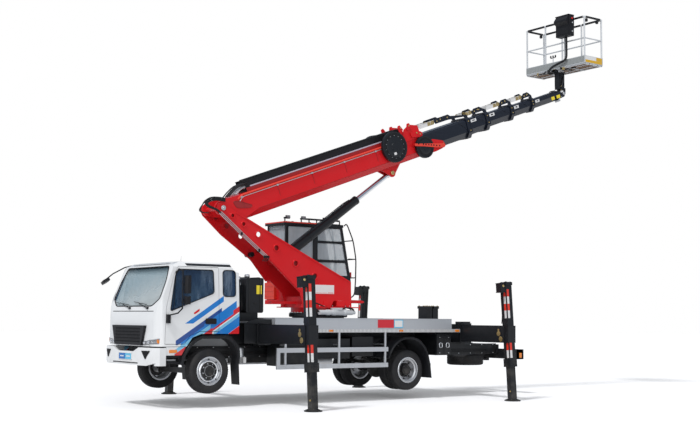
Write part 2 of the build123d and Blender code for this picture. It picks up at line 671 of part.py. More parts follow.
# Turret: two holed side plates that rise to the boom's hinge, on a base over the slewing ring
#               X     Z
TURRET_SIDE = [(585, 3705), (520, 3830), (575, 3915), (700, 3890), (930, 3773), (1240, 3637), (2490, 3043),
               (3790, 2440), (3815, 1905), (3634, 1905), (3588, 2037), (3351, 2034), (3279, 1905),
               (2590, 1905), (2500, 2185), (1681, 2884), (1018, 3332)]
TURRET_GUSSET = [(1720, 2870), (2112, 2421), (2328, 2466), (2543, 2320), (2700, 2190), (2760, 2560), (1960, 2900)]
#                X     Z    hole  ring
TURRET_HOLES = [(880, 3676, 34, 48), (1136, 3522, 36, 52), (1483, 3334, 52, 78), (1915, 3077, 52, 78),
                (2386, 2781, 52, 78), (2865, 2535, 52, 78)]
PIN_R = 45
with BuildPart() as turret_frame:
    for hand in (-1, 1):
        outer = hand * PLATE_Y
        start = outer + PLATE_T if hand < 0 else outer
        plate(side(start), TURRET_SIDE, PLATE_T, corner=18)
        for x, z, hole, ring in TURRET_HOLES:
            rim_start = outer if hand < 0 else outer + 10
            disc(side(rim_start), (x, z), ring, 10)
            disc(side(PLATE_Y + 50), (x, z), hole, 2 * PLATE_Y + 100, mode=Mode.SUBTRACT)
        boss = sorted((hand * 100, hand * (PLATE_Y - PLATE_T)))
        disc(side(boss[1]), LIFT_FOOT, 75, boss[1] - boss[0])
    inner_y = PLATE_Y - PLATE_T
    disc(side(PLATE_Y + 22), (PIN_X, PIN_Z), PIN_R, 2 * PLATE_Y + 44)
    block((2560, 3840), (-620, 620), (1885, 1905))
    block((3776, 3796), (-inner_y, inner_y), (1905, 2040))
    for hand in (-1, 1):
        block((3776, 3796), sorted((hand * 135, hand * inner_y)), (2040, 2425))
    plate(side(PLATE_Y + PLATE_T), TURRET_GUSSET, PLATE_T)
    block((2590, 2610), (-inner_y, inner_y), (1905, 2110))
    disc(plan(RING_Z[1] + 6), (SLEW_X, 0), 575, 1885 - RING_Z[1] - 6, hole=430)
    block((2600, 3800), (PLATE_Y, 1150), (1960, 2050))
    block((CABIN_X[0], CABIN_X[1]), CABIN_Y, (CABIN_Z[0], CABIN_SILL_Z))
    block((CABIN_X[0] + 30, CABIN_X[1] - 30), (CABIN_Y[0] + 30, CABIN_Y[1] - 30), (CABIN_Z[0] + 40, CABIN_SILL_Z + 1),
          mode=Mode.SUBTRACT)
    block(CABIN_DOOR_X, (CABIN_Y[1] - 60, CABIN_Y[1] + 1), (CABIN_Z[0] + 45, CABIN_SILL_Z + 1), mode=Mode.SUBTRACT)
    block((2560, 3820), (PLATE_Y, 460), (1905, 1960))
    block((2000, 2600), (-60, 60), (1955, 2010))
save(turret_frame, "turret_frame")

# Slewing drive hung under the near edge of the base
with BuildPart() as slew_drive:
    disc(across(2760), (-670, 1790), 48, 840)
    disc(across(2940), (-670, 1790), 58, 80)
    disc(across(3600), (-670, 1790), 36, 60)
    block((3100, 3300), (-720, -585), (1830, 1885))
save(slew_drive, "slew_drive")



def cabin_front(z, back):
    """A point on the control cabin's sloping front at a height, set back from its outside."""
    (x_low, z_low), (x_high, z_high) = CABIN_FRONT
    return x_low + (x_high - x_low) * (z - z_low) / (z_high - z_low) - back, z


def cabin_window(x, z):
    """Outline of a near-side window between its rear edge and the front post."""
    return [(x, z[0]), cabin_front(z[0], CABIN_POST), cabin_front(z[1], CABIN_POST), (x, z[1])]


CABIN_WINDOWS = [[(2716, 2500), (3372, 2500), (3372, 3620), (2716, 3620)],
                 cabin_window(3476, (2588, 2880)), cabin_window(3476, (2925, 3292)),
                 cabin_window(3476, (3332, 3620))]
CABIN_SIDE = [(CABIN_X[0], CABIN_SILL_Z), *CABIN_FRONT, (CABIN_X[0], CABIN_Z[1])]

# Control cabin frame: two side walls with their openings, bars across the ends and a roof
with BuildPart() as operator_cabin:
    plate(side(CABIN_Y[0] + 45), CABIN_SIDE, 45)
    plate(side(CABIN_Y[1]), CABIN_SIDE, 45)
    for outline in CABIN_WINDOWS:
        plate(side(CABIN_Y[0] + 46), outline, 47, mode=Mode.SUBTRACT)
    block(CABIN_DOOR_X, (CABIN_Y[1] - 46, CABIN_Y[1] + 1), (CABIN_SILL_Z - 1, 3610), mode=Mode.SUBTRACT)
    for z in (CABIN_SILL_Z, CABIN_Z[1] - 60):
        block((CABIN_X[0], CABIN_X[0] + 45), CABIN_Y, (z, z + 50))
        plate(side(CABIN_Y[1]), [cabin_front(z, 50), cabin_front(z, 0), cabin_front(z + 50, 0),
                                 cabin_front(z + 50, 50)], CABIN_Y[1] - CABIN_Y[0])
    block((CABIN_X[0] - 50, CABIN_FRONT[1][0] + 20), (CABIN_Y[0] - 20, CABIN_Y[1] + 20), (3646, 3706))
save(operator_cabin, "operator_cabin")

with BuildPart() as operator_glass:
    for outline in CABIN_WINDOWS:
        plate(side(CABIN_Y[0] + 22), outline, 6)
    inner_walls = (CABIN_Y[0] + 45, CABIN_Y[1] - 45)
    block((CABIN_X[0] + 16, CABIN_X[0] + 22), inner_walls, (CABIN_SILL_Z + 50, CABIN_Z[1] - 60))
    low, high = CABIN_SILL_Z + 50, CABIN_Z[1] - 60
    plate(side(inner_walls[1]), [cabin_front(low, 28), cabin_front(low, 22), cabin_front(high, 22),
                                 cabin_front(high, 28)], inner_walls[1] - inner_walls[0])
save(operator_glass, "operator_glass")

with BuildPart() as operator_seat:
    block((3000, 3300), (680, 950), (2100, 2450))
    block((2960, 3430), (600, 1030), (2450, 2560))
    block((2850, 2960), (620, 1010), (2500, 3150))
    block((3750, 3950), (620, 1010), (2100, 2750))
save(operator_seat, "operator_seat")

with BuildPart() as operator_door:
    outer_y = CABIN_Y[1]
    door_x = (CABIN_DOOR_X[0] + 6, CABIN_DOOR_X[1] - 6)
    door_z = (CABIN_Z[0] + 51, 3604)
    block(door_x, (outer_y - 40, outer_y), door_z)
    block((door_x[0] + 50, door_x[1] - 50), (outer_y - 60, outer_y + 20), (door_z[0] + 450, door_z[1] - 50),
          mode=Mode.SUBTRACT)
    block((door_x[0] + 50, door_x[1] - 50), (outer_y - 24, outer_y - 16), (door_z[0] + 450, door_z[1] - 50))
save(operator_door, "operator_door")


def boom_block(s, y, n, mode=Mode.ADD):
    """A box laid along the boom between limits along, across and square to it."""
    with BuildSketch(boom_cross(s[0])) as section:
        with Locations(((y[0] + y[1]) / 2, (n[0] + n[1]) / 2)):
            Rectangle(y[1] - y[0], n[1] - n[0])
    extrude(section.sketch, amount=s[1] - s[0], mode=mode)


def boom_tube(s, half, under, over, grow=0, mode=Mode.ADD):
    """A length of the boom's folded section: flat top, upright sides and a keel with bent lower corners."""
    w = half + grow
    low = under - grow
    top = over + grow
    with BuildSketch(boom_cross(s[0])) as section:
        with BuildLine():
            Polyline((-w, low + 130), (-w, top - 40), (-w + 40, top), (w - 40, top), (w, top - 40),
                     (w, low + 130), (w - 110, low), (-w + 110, low), close=True)
        make_face()
    extrude(section.sketch, amount=s[1] - s[0], mode=mode)


# Base section with its hinge cheeks, head plates, hose strap and lift lugs
name, half, under, over, tail, head, _ = SECTIONS[0]
with BuildPart() as boom_base:
    boom_tube((tail, head), half, under, over)
    boom_tube((tail + 14, head + 1), half, under, over, grow=-SKIN, mode=Mode.SUBTRACT)
    for hand in (-1, 1):
        start = -half + 30 if hand < 0 else half
        with BuildSketch(boom_side(start)) as cheek:
            with BuildLine():
                l1 = Line((480, under + 20), (860, under + 130))
                l2 = Line(l1 @ 1, (860, over - 45))
                l3 = Line(l2 @ 1, (330, over + 10))
                l4 = Line(l3 @ 1, (20, 135))
                l5 = ThreePointArc(l4 @ 1, (-125, 10), (-60, -110))
                l6 = Line(l5 @ 1, l1 @ 0)
            make_face()
        extrude(cheek.sketch, amount=30)
        outer = -half if hand < 0 else half + 20
        plate(boom_side(outer), [(4900, 60), (4900, 140), (5030, 330), (5200, 405), (5440, 330),
                                  (5460, 60)], 20)
        disc(boom_side(90 if hand > 0 else -70), (LIFT_EYE_S, LIFT_EYE_N), 95, 20)
        plate(boom_side(90 if hand > 0 else -70),
              [(LIFT_EYE_S - 300, under + 5), (LIFT_EYE_S + 300, under + 5), (LIFT_EYE_S + 90, LIFT_EYE_N - 30),
               (LIFT_EYE_S - 90, LIFT_EYE_N - 30)], 20)
    disc(boom_side(PLATE_Y), (0, 0), PIN_R + RUNNING_GAP, 2 * PLATE_Y, mode=Mode.SUBTRACT)
    disc(boom_side(105), (LIFT_EYE_S, LIFT_EYE_N), 40, 210)
save(boom_base, "boom_base")

# Hose reels beside the boom's head and the hose tray on top
with BuildPart() as hose_reels:
    boom_block((750, 5000), (-170, 170), (over, over + 220))
    boom_block((740, 5010), (-150, 150), (over + 20, over + 230), mode=Mode.SUBTRACT)
    for y, s, n, r in ((-300, 4600, 40, 340), (-300, 5438, -177, 250), (360, 4600, 40, 340)):
        disc(boom_side(y), (s, n), r, 60)
    disc(boom_side(-half), (4600, 0), 60, 30)
    disc(boom_side(half + 30), (4600, 0), 60, 30)
    disc(boom_side(-half), (5400, -140), 50, 30)
save(hose_reels, "hose_reels")

for name, half, under, over, tail, head, collar in SECTIONS[1:]:
    with BuildPart() as section_tube:
        boom_tube((tail, head), half, under, over)
        if collar:
            boom_tube((head - collar, head), half, under, over, grow=COLLAR_RISE)
        boom_tube((tail - 1, head + 1), half, under, over, grow=-SKIN, mode=Mode.SUBTRACT)
        if not collar:
            boom_block((head - 100, head - 80), (-half + SKIN, half - SKIN), (under + SKIN, over - SKIN))
            for hand in (-1, 1):
                start = hand * 100 + 12
                plate(boom_side(start), [(head - 90, -180), (head - 90, 10), (TIP_S, 0), (TIP_S + 70, TIP_N),
                                         (TIP_S, -165)], 24, corner=20)
            disc(boom_side(112), (TIP_S, TIP_N), 25, 224)
    save(section_tube, name)

# Lift cylinder: rod with its eye on the boom's pin, barrel over the rod
eye = boom_point(LIFT_EYE_S, LIFT_EYE_N)
LIFT_LENGTH = hypot(eye[0] - LIFT_FOOT[0], eye[1] - LIFT_FOOT[1])
LIFT_ANGLE = atan2(eye[1] - LIFT_FOOT[1], eye[0] - LIFT_FOOT[0])
LIFT_DIR = (cos(LIFT_ANGLE), 0, sin(LIFT_ANGLE))


def lift_section(at):
    """Plane square to the lift cylinder at a distance from its foot pin."""
    x = AXLE_1 + LIFT_FOOT[0] + at * LIFT_DIR[0]
    z = LIFT_FOOT[1] + at * LIFT_DIR[2]
    return Plane(origin=(x, 0, z), x_dir=(0, 1, 0), z_dir=LIFT_DIR)


with BuildPart() as lift_rod:
    disc(side(60), eye, 88, 120)
    disc(lift_section(LIFT_LENGTH - ROD_REACH), (0, 0), ROD_R, ROD_REACH - 60)
    disc(lift_section(LIFT_LENGTH - ROD_REACH), (0, 0), BARREL_R - 13, 90)
    disc(side(70), eye, 40 + RUNNING_GAP, 140, mode=Mode.SUBTRACT)
save(lift_rod, "lift_rod")

with BuildPart() as lift_barrel:
    disc(side(60), LIFT_FOOT, 85, 120)
    disc(lift_section(60), (0, 0), BARREL_R, BARREL_END - 60)
    disc(lift_section(110), (0, 0), BARREL_R - 12, BARREL_END - 160, mode=Mode.SUBTRACT)
    disc(lift_section(110), (0, 0), ROD_R + 1, BARREL_END, mode=Mode.SUBTRACT)
save(lift_barrel, "lift_barrel")

# Basket mast on the levelling pin
tip = boom_point(TIP_S, TIP_N)
with BuildPart() as basket_mast:
    disc(side(80), tip, 60, 160)
    block((tip[0] - 40, tip[0] + 100), (-80, 80), (tip[1], tip[1] + 150))
    block((MAST_X - 85, MAST_X + 85), (-85, 85), (tip[1] + 110, BASKET_FLOOR - 150))
    disc(side(90), tip, 25 + RUNNING_GAP, 180, mode=Mode.SUBTRACT)
save(basket_mast, "basket_mast")

# Work basket: turntable, framed floor, toe boards, posts and rails
RAIL_R = 20
with BuildPart() as basket:
    disc(plan(BASKET_FLOOR - 144), (MAST_X, 0), 110, 90)
    x0, x1 = BASKET_X
    block((x0, x1), (-BASKET_Y, BASKET_Y), (BASKET_FLOOR - 60, BASKET_FLOOR))
    for y in (-BASKET_Y, BASKET_Y - 4):
        block((x0, x1), (y, y + 4), (BASKET_FLOOR, BASKET_FLOOR + 120))
    for x in (x0, x1 - 4):
        block((x, x + 4), (-BASKET_Y, BASKET_Y), (BASKET_FLOOR, BASKET_FLOOR + 120))
    for x in (x0 + RAIL_R, x1 - RAIL_R):
        for y in (-BASKET_Y + RAIL_R, -330, 330, BASKET_Y - RAIL_R):
            disc(plan(BASKET_FLOOR), (x, y), RAIL_R, BASKET_TOP - RAIL_R - BASKET_FLOOR)
        for z in (BASKET_FLOOR + 560, BASKET_TOP - RAIL_R):
            with Locations((AXLE_1 + x, 0, z)):
                Cylinder(RAIL_R - 2, 2 * BASKET_Y - 2 * RAIL_R, rotation=(90, 0, 0))
    for y in (-BASKET_Y + RAIL_R, BASKET_Y - RAIL_R):
        for z in (BASKET_FLOOR + 560, BASKET_TOP - RAIL_R):
            with Locations((AXLE_1 + (x0 + x1) / 2, y, z)):
                Cylinder(RAIL_R - 3, x1 - x0 - 2 * RAIL_R, rotation=(0, 90, 0))
save(basket, "basket")

with BuildPart() as control_box:
    block((x0 - 190, x0), (-660, -230), (BASKET_TOP - 450, BASKET_TOP + 70))
save(control_box, "control_box")

# Side mirrors: a bent tube on each door with a tall and a small mirror, and the tube's lower socket
for hand_name, hand in SIDES:
    with BuildPart() as mirror:
        round_bar([(-705, hand * 1040, 2480), (-690, hand * 1120, 2555), (-660, hand * 1225, 2520),
                   (-660, hand * 1225, 1830), (-735, hand * 1200, 1745), (-880, hand * 1090, 1700)], 13)
        block((-642, -578), sorted((hand * 1238, hand * 1395)), (2104, 2430))
        block((-642, -578), sorted((hand * 1238, hand * 1385)), (1905, 2052))
        block((-665, -610), sorted((hand * 1215, hand * 1250)), (2240, 2290))
        block((-665, -610), sorted((hand * 1215, hand * 1250)), (1960, 2000))
        block((-905, -840), sorted((hand * CAB_Y, hand * 1128)), (1560, 1722))
    save(mirror, f"mirror_{hand_name}")

# Front-view mirror on an arm from the roof's right corner
with BuildPart() as front_mirror:
    round_bar([(-640, 960, 2672), (-760, 1010, 2640), (-1010, 1010, 2510), (-1150, 1010, 2400)], 12)
    with BuildSketch(Plane(origin=(AXLE_1 - 1165, 1010, 2360), z_dir=(0.45, -0.3, -0.84))) as head:
        RectangleRounded(150, 230, 60)
    extrude(head.sketch, amount=28, both=True)
    add(CAB_OUTER, mode=Mode.SUBTRACT)
save(front_mirror, "front_mirror")
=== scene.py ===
"""Scene of a cherry picker truck: finishes for the modelled solids, the fine pieces on them, light and camera."""
import json
from math import cos, pi, radians, sin, tau

import bpy
import bmesh
import numpy as np
from mathutils import Matrix, Vector


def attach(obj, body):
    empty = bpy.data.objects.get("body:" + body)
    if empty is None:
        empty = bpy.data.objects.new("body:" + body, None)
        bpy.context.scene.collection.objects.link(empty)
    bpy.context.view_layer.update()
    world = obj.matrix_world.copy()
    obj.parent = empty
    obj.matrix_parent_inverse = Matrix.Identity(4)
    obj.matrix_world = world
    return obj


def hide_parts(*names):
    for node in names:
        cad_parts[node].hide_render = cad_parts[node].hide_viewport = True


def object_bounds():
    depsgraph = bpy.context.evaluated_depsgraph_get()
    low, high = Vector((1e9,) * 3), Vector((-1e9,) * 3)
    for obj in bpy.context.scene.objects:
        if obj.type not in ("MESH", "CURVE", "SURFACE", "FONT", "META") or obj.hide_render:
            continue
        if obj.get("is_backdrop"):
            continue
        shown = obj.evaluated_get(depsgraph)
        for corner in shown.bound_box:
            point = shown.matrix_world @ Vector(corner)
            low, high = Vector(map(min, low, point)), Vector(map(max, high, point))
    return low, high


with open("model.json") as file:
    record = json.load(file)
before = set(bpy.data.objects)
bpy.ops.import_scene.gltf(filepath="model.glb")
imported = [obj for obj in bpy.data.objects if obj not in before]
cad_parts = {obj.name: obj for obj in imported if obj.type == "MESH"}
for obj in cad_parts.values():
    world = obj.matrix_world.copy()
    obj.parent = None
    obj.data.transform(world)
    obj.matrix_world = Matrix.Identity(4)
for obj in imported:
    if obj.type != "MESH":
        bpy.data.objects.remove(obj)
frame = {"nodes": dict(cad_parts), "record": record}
CAD_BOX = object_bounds()

# Places that the pieces share, in metres; X runs rearwards from the front axle and is moved by AXLE_1
AXLE_1 = -4.880
WHEELBASE = 4.750
TYRE_W = 0.245
FRONT_WHEEL = (0.985, 0.678)
REAR_OUTER = (0.975, 0.602)
REAR_INNER_Y = 0.697
SLEW_X = 3.2
PIN = (0.652, 3.814)
BOOM_ANGLE = radians(20)
LIFT_EYE = (4.545, -0.510)
PLATE_Y = 0.350
HANDS = (("left", -1), ("right", 1))
ALONG, ACROSS, UP, NEARWARD = (1, 0, 0), (0, 1, 0), (0, 0, 1), (0, -1, 0)


def at(x, y, z):
    """A point of the row frame from its distance behind the front axle."""
    return (AXLE_1 + x, y, z)


def along_boom(s, y, n):
    """A point of the row frame from its distance along the boom, its Y and its height square to the boom."""
    x = PIN[0] + s * cos(BOOM_ANGLE) - n * sin(BOOM_ANGLE)
    return at(x, y, PIN[1] + s * sin(BOOM_ANGLE) + n * cos(BOOM_ANGLE))


# Shader maths

class Value:
    """A socket whose sums, differences, products, powers and comparisons add Math nodes."""

    def __init__(self, finish, socket):
        self.finish = finish
        self.socket = socket

    def maths(self, operation, *terms):
        return self.finish.node("ShaderNodeMath", {"operation": operation}, dict(enumerate(terms)))

    def __add__(self, other):
        return self.maths("ADD", self, other)

    def __sub__(self, other):
        return self.maths("SUBTRACT", self, other)

    def __rsub__(self, other):
        return self.maths("SUBTRACT", other, self)

    def __mul__(self, other):
        return self.maths("MULTIPLY", self, other)

    def __truediv__(self, other):
        return self.maths("DIVIDE", self, other)

    def __gt__(self, other):
        return self.maths("GREATER_THAN", self, other)

    def __lt__(self, other):
        return self.maths("LESS_THAN", self, other)

    def __abs__(self):
        return self.maths("ABSOLUTE", self)

    __radd__ = __add__
    __rmul__ = __mul__

    def wrapped(self, period):
        """The value's place inside a repeating period, from 0 to the period."""
        return self.maths("WRAP", self, period, 0.0)

    def between(self, low, high):
        """1 where the value lies between two limits, else 0."""
        return (self > low) * (self < high)

    def clamped(self):
        return self.maths("MAXIMUM", self.maths("MINIMUM", self, 1.0), 0.0)


def rgba(colour):
    """A colour as a socket takes it: a Value as it is, three numbers with an alpha of 1."""
    return colour if isinstance(colour, Value) else (*colour, 1.0)


def scaled(colour, factor, lift=0.0):
    """A colour times a factor plus a lift, no brighter than 1."""
    return tuple(min(1.0, factor * part + lift) for part in colour)


class Finish:
    """A material in the making: one method adds any node, the others are the patterns that finishes share."""

    def __init__(self, name):
        self.material = bpy.data.materials.new(name)
        self.material.use_nodes = True
        self.tree = self.material.node_tree
        self.tree.nodes.clear()
        self.place = self.node("ShaderNodeTexCoord", output="Object")
        self.x = self.node("ShaderNodeSeparateXYZ", sockets={"Vector": self.place})
        self.y = Value(self, self.x.socket.node.outputs["Y"])
        self.z = Value(self, self.x.socket.node.outputs["Z"])

    def node(self, kind, settings=None, sockets=None, output=0):
        """Add a node: settings are its attributes, sockets its inputs by name or number; returns an output."""
        item = self.tree.nodes.new(kind)
        for key, value in (settings or {}).items():
            setattr(item, key, value)
        for key, value in (sockets or {}).items():
            if isinstance(value, Value):
                self.tree.links.new(value.socket, item.inputs[key])
            else:
                item.inputs[key].default_value = value
        return Value(self, item.outputs[output]) if item.outputs else None

    def noise(self, scale, detail=3.0, roughness=0.55, stretch=None):
        """Noise from 0 to 1 at a scale in features a metre, stretched along an axis if asked."""
        place = self.place
        if stretch:
            place = self.node("ShaderNodeMapping", sockets={"Vector": place, "Scale": stretch})
        return self.node("ShaderNodeTexNoise", sockets={"Vector": place, "Scale": scale, "Detail": detail,
                                                        "Roughness": roughness})

    def spots(self, scale, randomness=1.0):
        """Distance to the nearest of scattered points, for grains and speckles."""
        return self.node("ShaderNodeTexVoronoi", sockets={"Vector": self.place, "Scale": scale,
                                                          "Randomness": randomness})

    def step(self, value, low, high):
        """A smooth step from 0 at low to 1 at high."""
        return self.node("ShaderNodeMapRange", {"interpolation_type": "SMOOTHSTEP"},
                         {"Value": value, "From Min": low, "From Max": high, "To Min": 0.0, "To Max": 1.0})

    def mix(self, factor, under, over):
        """One colour laid over another by a factor; inputs 6 and 7 and output 2 are the node's colours."""
        return self.node("ShaderNodeMix", {"data_type": "RGBA", "clamp_factor": True},
                         {0: factor, 6: rgba(under), 7: rgba(over)}, 2)

    def bump(self, height, distance, strength):
        return self.node("ShaderNodeBump", sockets={"Height": height, "Distance": distance, "Strength": strength})

    def surface(self, colour, roughness, normal=None, **fixed):
        """Close the material with a Principled shader; fixed holds its plain sockets by name."""
        sockets = {"Base Color": rgba(colour), "Roughness": roughness}
        if normal is not None:
            sockets["Normal"] = normal
        sockets.update({key.replace("_", " "): value for key, value in fixed.items()})
        return self.close(self.node("ShaderNodeBsdfPrincipled", sockets=sockets))

    def close(self, shader):
        self.node("ShaderNodeOutputMaterial", sockets={"Surface": shader})
        return self.material


# Finishes

WHITE = (0.82, 0.83, 0.84)
RED = (0.66, 0.006, 0.010)
DUST = (0.30, 0.27, 0.23)


def road_dust(finish, colour, reach, amount=0.5):
    """The colour with dust that thins out upwards to a height of reach metres and gathers in patches."""
    low = 1.0 - finish.step(finish.z, 0.35, reach)
    patches = finish.step(finish.noise(6.0, 4.0), 0.35, 0.75)
    veil = low * patches * amount
    return finish.mix(veil, colour, DUST), veil


def coachwork(finish, colour, reach=1.3, dust=0.35, gloss=0.18, coat=0.30, shine=0.5):
    """Sprayed gloss paint: faint clouds in the colour, orange peel, a clear coat and dust low down."""
    cloud = finish.noise(1.7, 2.0)
    shade = finish.mix(cloud * 0.10, colour, finish.mix(0.5, colour, (0.35, 0.36, 0.38)))
    dusty, veil = road_dust(finish, shade, reach, dust)
    peel = finish.bump(finish.noise(420.0, 2.0), 0.0006, 0.35)
    return finish.surface(dusty, gloss + veil * 0.5, peel, Coat_Weight=coat, Coat_Roughness=0.06,
                          Specular_IOR_Level=shine)


# Cab stripes: colour, limits of the height that the stripe has at the front axle, limits of X and Z
STRIPE_SLOPE = 0.638
LIGHT_BLUE = (0.20, 0.55, 0.80)
MID_BLUE = (0.008, 0.20, 0.62)
DEEP_BLUE = (0.008, 0.065, 0.30)
SIGNAL_RED = (0.68, 0.010, 0.016)
STRIPES = [(DEEP_BLUE, 1.580, 1.688, -0.70, 0.260, 1.16, 2.0),
           (MID_BLUE, 1.777, 1.884, -0.60, 0.305, 1.555, 2.2),
           (MID_BLUE, 1.410, 1.616, -0.11, 0.585, 1.30, 2.2),
           (MID_BLUE, 1.530, 1.582, -0.60, 0.100, 1.16, 2.0),
           (LIGHT_BLUE, 1.455, 1.532, -0.72, 0.020, 0.95, 2.0),
           (SIGNAL_RED, 1.375, 1.412, -0.08, 0.660, 1.30, 2.2),
           (SIGNAL_RED, 1.400, 1.480, 0.510, 0.660, 1.30, 2.2),
           (SIGNAL_RED, 1.335, 1.440, -0.11, 0.060, 1.30, 2.0),
           (LIGHT_BLUE, 1.292, 1.350, 0.090, 0.660, 1.30, 2.2),
           (MID_BLUE, 1.110, 1.290, 0.100, 0.660, 1.30, 2.2),
           (SIGNAL_RED, 0.900, 1.108, 0.300, 0.660, 1.30, 2.2),
           (SIGNAL_RED, 1.300, 1.453, -0.72, -0.400, 0.95, 1.13),
           (SIGNAL_RED, 1.925, 1.972, -0.335, -0.215, 1.73, 1.86)]


# Near-black painted shade for the walls inside the cab
INSIDE_SHADE = (0.010, 0.011, 0.013)


def striped_paint():
    """White coachwork: slanted stripes on its sides, and near-black painted shade on the walls inside the cab."""
    finish = Finish("striped_paint")
    x = finish.x - AXLE_1
    rise = finish.z - x * STRIPE_SLOPE
    on_side = abs(finish.y) > 1.02
    colour = finish.mix(0.0, WHITE, WHITE)
    for stripe, low, high, x0, x1, z0, z1 in STRIPES:
        mask = rise.between(low, high) * x.between(x0, x1) * finish.z.between(z0, z1) * on_side
        colour = finish.mix(mask, colour, stripe)
    # X of the cab's front is the larger of two straight lines of Z; the wall is its side's distance from the middle
    low_front = finish.z * 0.170 - 1.358
    front = low_front.maths("MAXIMUM", low_front, finish.z * 0.394 - 1.775)
    wall = 1.179 - finish.z * 0.061
    # Where the mask below holds, the walls inside the cab get the near-black painted shade
    inside = (x > front + 0.030) * (abs(finish.y) < 1.048) * (abs(finish.y) < wall - 0.020)
    inside = inside * (abs(finish.y) - x < 0.72 - front)
    inside = inside * finish.z.between(1.385, 2.672) * (x < 0.620)
    return coachwork(finish, finish.mix(inside, colour, INSIDE_SHADE), coat=(1.0 - inside) * 0.30)
def satin_black(name, colour, dust, rough):
    """Satin chassis paint: grey scuffs on a fine grain, dust low down."""
    finish = Finish(name)
    scuff = finish.step(finish.noise(14.0, 5.0, 0.65), 0.56, 0.80)
    shade = finish.mix(scuff * 0.30, colour, (0.045, 0.047, 0.052))
    dusty, veil = road_dust(finish, shade, 1.3, dust)
    grain = finish.bump(finish.noise(260.0, 3.0), 0.0008, 0.4)
    return finish.surface(dusty, rough + veil * 0.45 + scuff * 0.12, grain, Specular_IOR_Level=0.35)


def black_boom():
    """Blue-black boom paint with long slide marks along the boom."""
    finish = Finish("black_boom")
    marks = finish.noise(30.0, 4.0, 0.6, stretch=(0.04, 1.0, 1.0))
    rub = finish.step(marks, 0.55, 0.85)
    shade = finish.mix(rub * 0.35, (0.009, 0.012, 0.021), (0.045, 0.052, 0.070))
    peel = finish.bump(finish.noise(350.0, 2.0), 0.0006, 0.3)
    return finish.surface(shade, 0.28 + rub * 0.15, peel, Coat_Weight=0.12, Coat_Roughness=0.12,
                          Specular_IOR_Level=0.35)


def brushed(name, colour, rough=0.34, scale=160.0, stretch=(0.02, 1.0, 1.0), dust=0.25, metallic=1.0):
    """Drawn metal: streaks along one axis that vary the sheen and the height a little."""
    finish = Finish(name)
    streak = finish.noise(scale, 4.0, 0.6, stretch=stretch)
    shade = finish.mix(streak * 0.5, colour, scaled(colour, 0.78))
    dusty, veil = road_dust(finish, shade, 1.25, dust)
    lines = finish.bump(streak, 0.0005, 0.3)
    return finish.surface(dusty, rough + streak * 0.14 + veil * 0.3, lines, Metallic=metallic)


def tyre_rubber():
    """Matt rubber with patches of dust and a fine grain."""
    finish = Finish("tyre_rubber")
    patch = finish.step(finish.noise(7.0, 4.0), 0.35, 0.75)
    shade = finish.mix(patch * 0.5, (0.014, 0.014, 0.016), (0.050, 0.047, 0.044))
    grain = finish.bump(finish.noise(300.0, 3.0), 0.0010, 0.5)
    return finish.surface(shade, 0.66 + patch * 0.15, grain, Specular_IOR_Level=0.35)


def moulded(name, colour, rough=0.5, grain_scale=520.0):
    """Grained moulded plastic, a little lighter where it has been rubbed."""
    finish = Finish(name)
    worn = finish.step(finish.noise(11.0, 4.0), 0.5, 0.8)
    shade = finish.mix(worn * 0.35, colour, scaled(colour, 1.8, 0.01))
    grain = finish.bump(finish.spots(grain_scale), 0.0008, 0.35)
    return finish.surface(shade, rough + worn * 0.12, grain, Specular_IOR_Level=0.3)


def cast_grey():
    """Painted casting: a lumpy skin under grey paint, its colour darkened with the lumps as painted shade in the
    hollows.
    """
    finish = Finish("grey_casting")
    lump = finish.noise(60.0, 5.0, 0.6)
    # The grey darkens with the lumps as painted shade
    shade = finish.mix(lump * 0.5, (0.60, 0.62, 0.64), (0.36, 0.37, 0.39))
    skin = finish.bump(lump, 0.002, 0.35)
    return finish.surface(shade, 0.45 + lump * 0.15, skin)


def chromed():
    """Hard chrome with faint rings of oil."""
    finish = Finish("chrome")
    film = finish.step(finish.noise(22.0, 3.0), 0.45, 0.8)
    shade = finish.mix(film * 0.3, (0.72, 0.74, 0.77), (0.45, 0.46, 0.47))
    return finish.surface(shade, 0.07 + film * 0.12, Metallic=1.0)


def glazing(name, tint_and_reflection, alpha):
    """Tinted pane: a pale blue-grey that is partly its tint and partly a painted sky reflection, with streaks of
    dust, seen through by its alpha.
    """
    finish = Finish(name)
    streak = finish.noise(5.0, 3.0, stretch=(1.0, 1.0, 0.25))
    shade = finish.mix(streak * 0.4, tint_and_reflection, scaled(tint_and_reflection, 1.5, 0.02))
    veil = finish.step(streak, 0.3, 0.9) * 0.10
    return finish.surface(shade, 0.02 + streak * 0.05, Alpha=veil + alpha, Specular_IOR_Level=0.9,
                          Coat_Weight=0.4, Coat_Roughness=0.02)


def cab_glazing():
    """Cab panes: nearly clear at the front under a pale painted reflection, blue-grey at the sides with patches of
    painted sky reflection, and almost closed at the back.
    """
    finish = Finish("clear_glass")
    streak = finish.noise(4.0, 4.0, 0.6, stretch=(1.0, 1.0, 0.22))
    x = finish.x - AXLE_1
    rear = x > 0.50
    front = (x < -0.60) * (abs(finish.y) < 0.90)
    side = (1.0 - rear) * (1.0 - front)
    shade = finish.mix(finish.step(streak, 0.35, 0.75), (0.012, 0.035, 0.085), (0.040, 0.090, 0.160))
    # The windscreen's pale colour, bluer towards the top, is a painted reflection
    glare = finish.step(finish.z + finish.y * 0.25 + streak * 0.5, 1.95, 2.75)
    bright = finish.mix(glare, (0.84, 0.92, 0.94), (0.50, 0.66, 0.74))
    visor = finish.step(finish.z, 2.46, 2.60)
    shade = finish.mix(front, shade, finish.mix(visor, bright, (0.05, 0.10, 0.13)))
    # Pale patches on the side panes are a painted sky reflection
    sky = finish.step(streak + finish.z * 0.35 + x * 0.25, 1.25, 1.55) * side
    shade = finish.mix(sky * 0.55, shade, (0.30, 0.38, 0.48))
    alpha = front * 0.34 + side * (streak * 0.20 + 0.62) + rear * 0.92
    return finish.surface(shade, 0.03 + streak * 0.05, Alpha=alpha, Specular_IOR_Level=0.5)


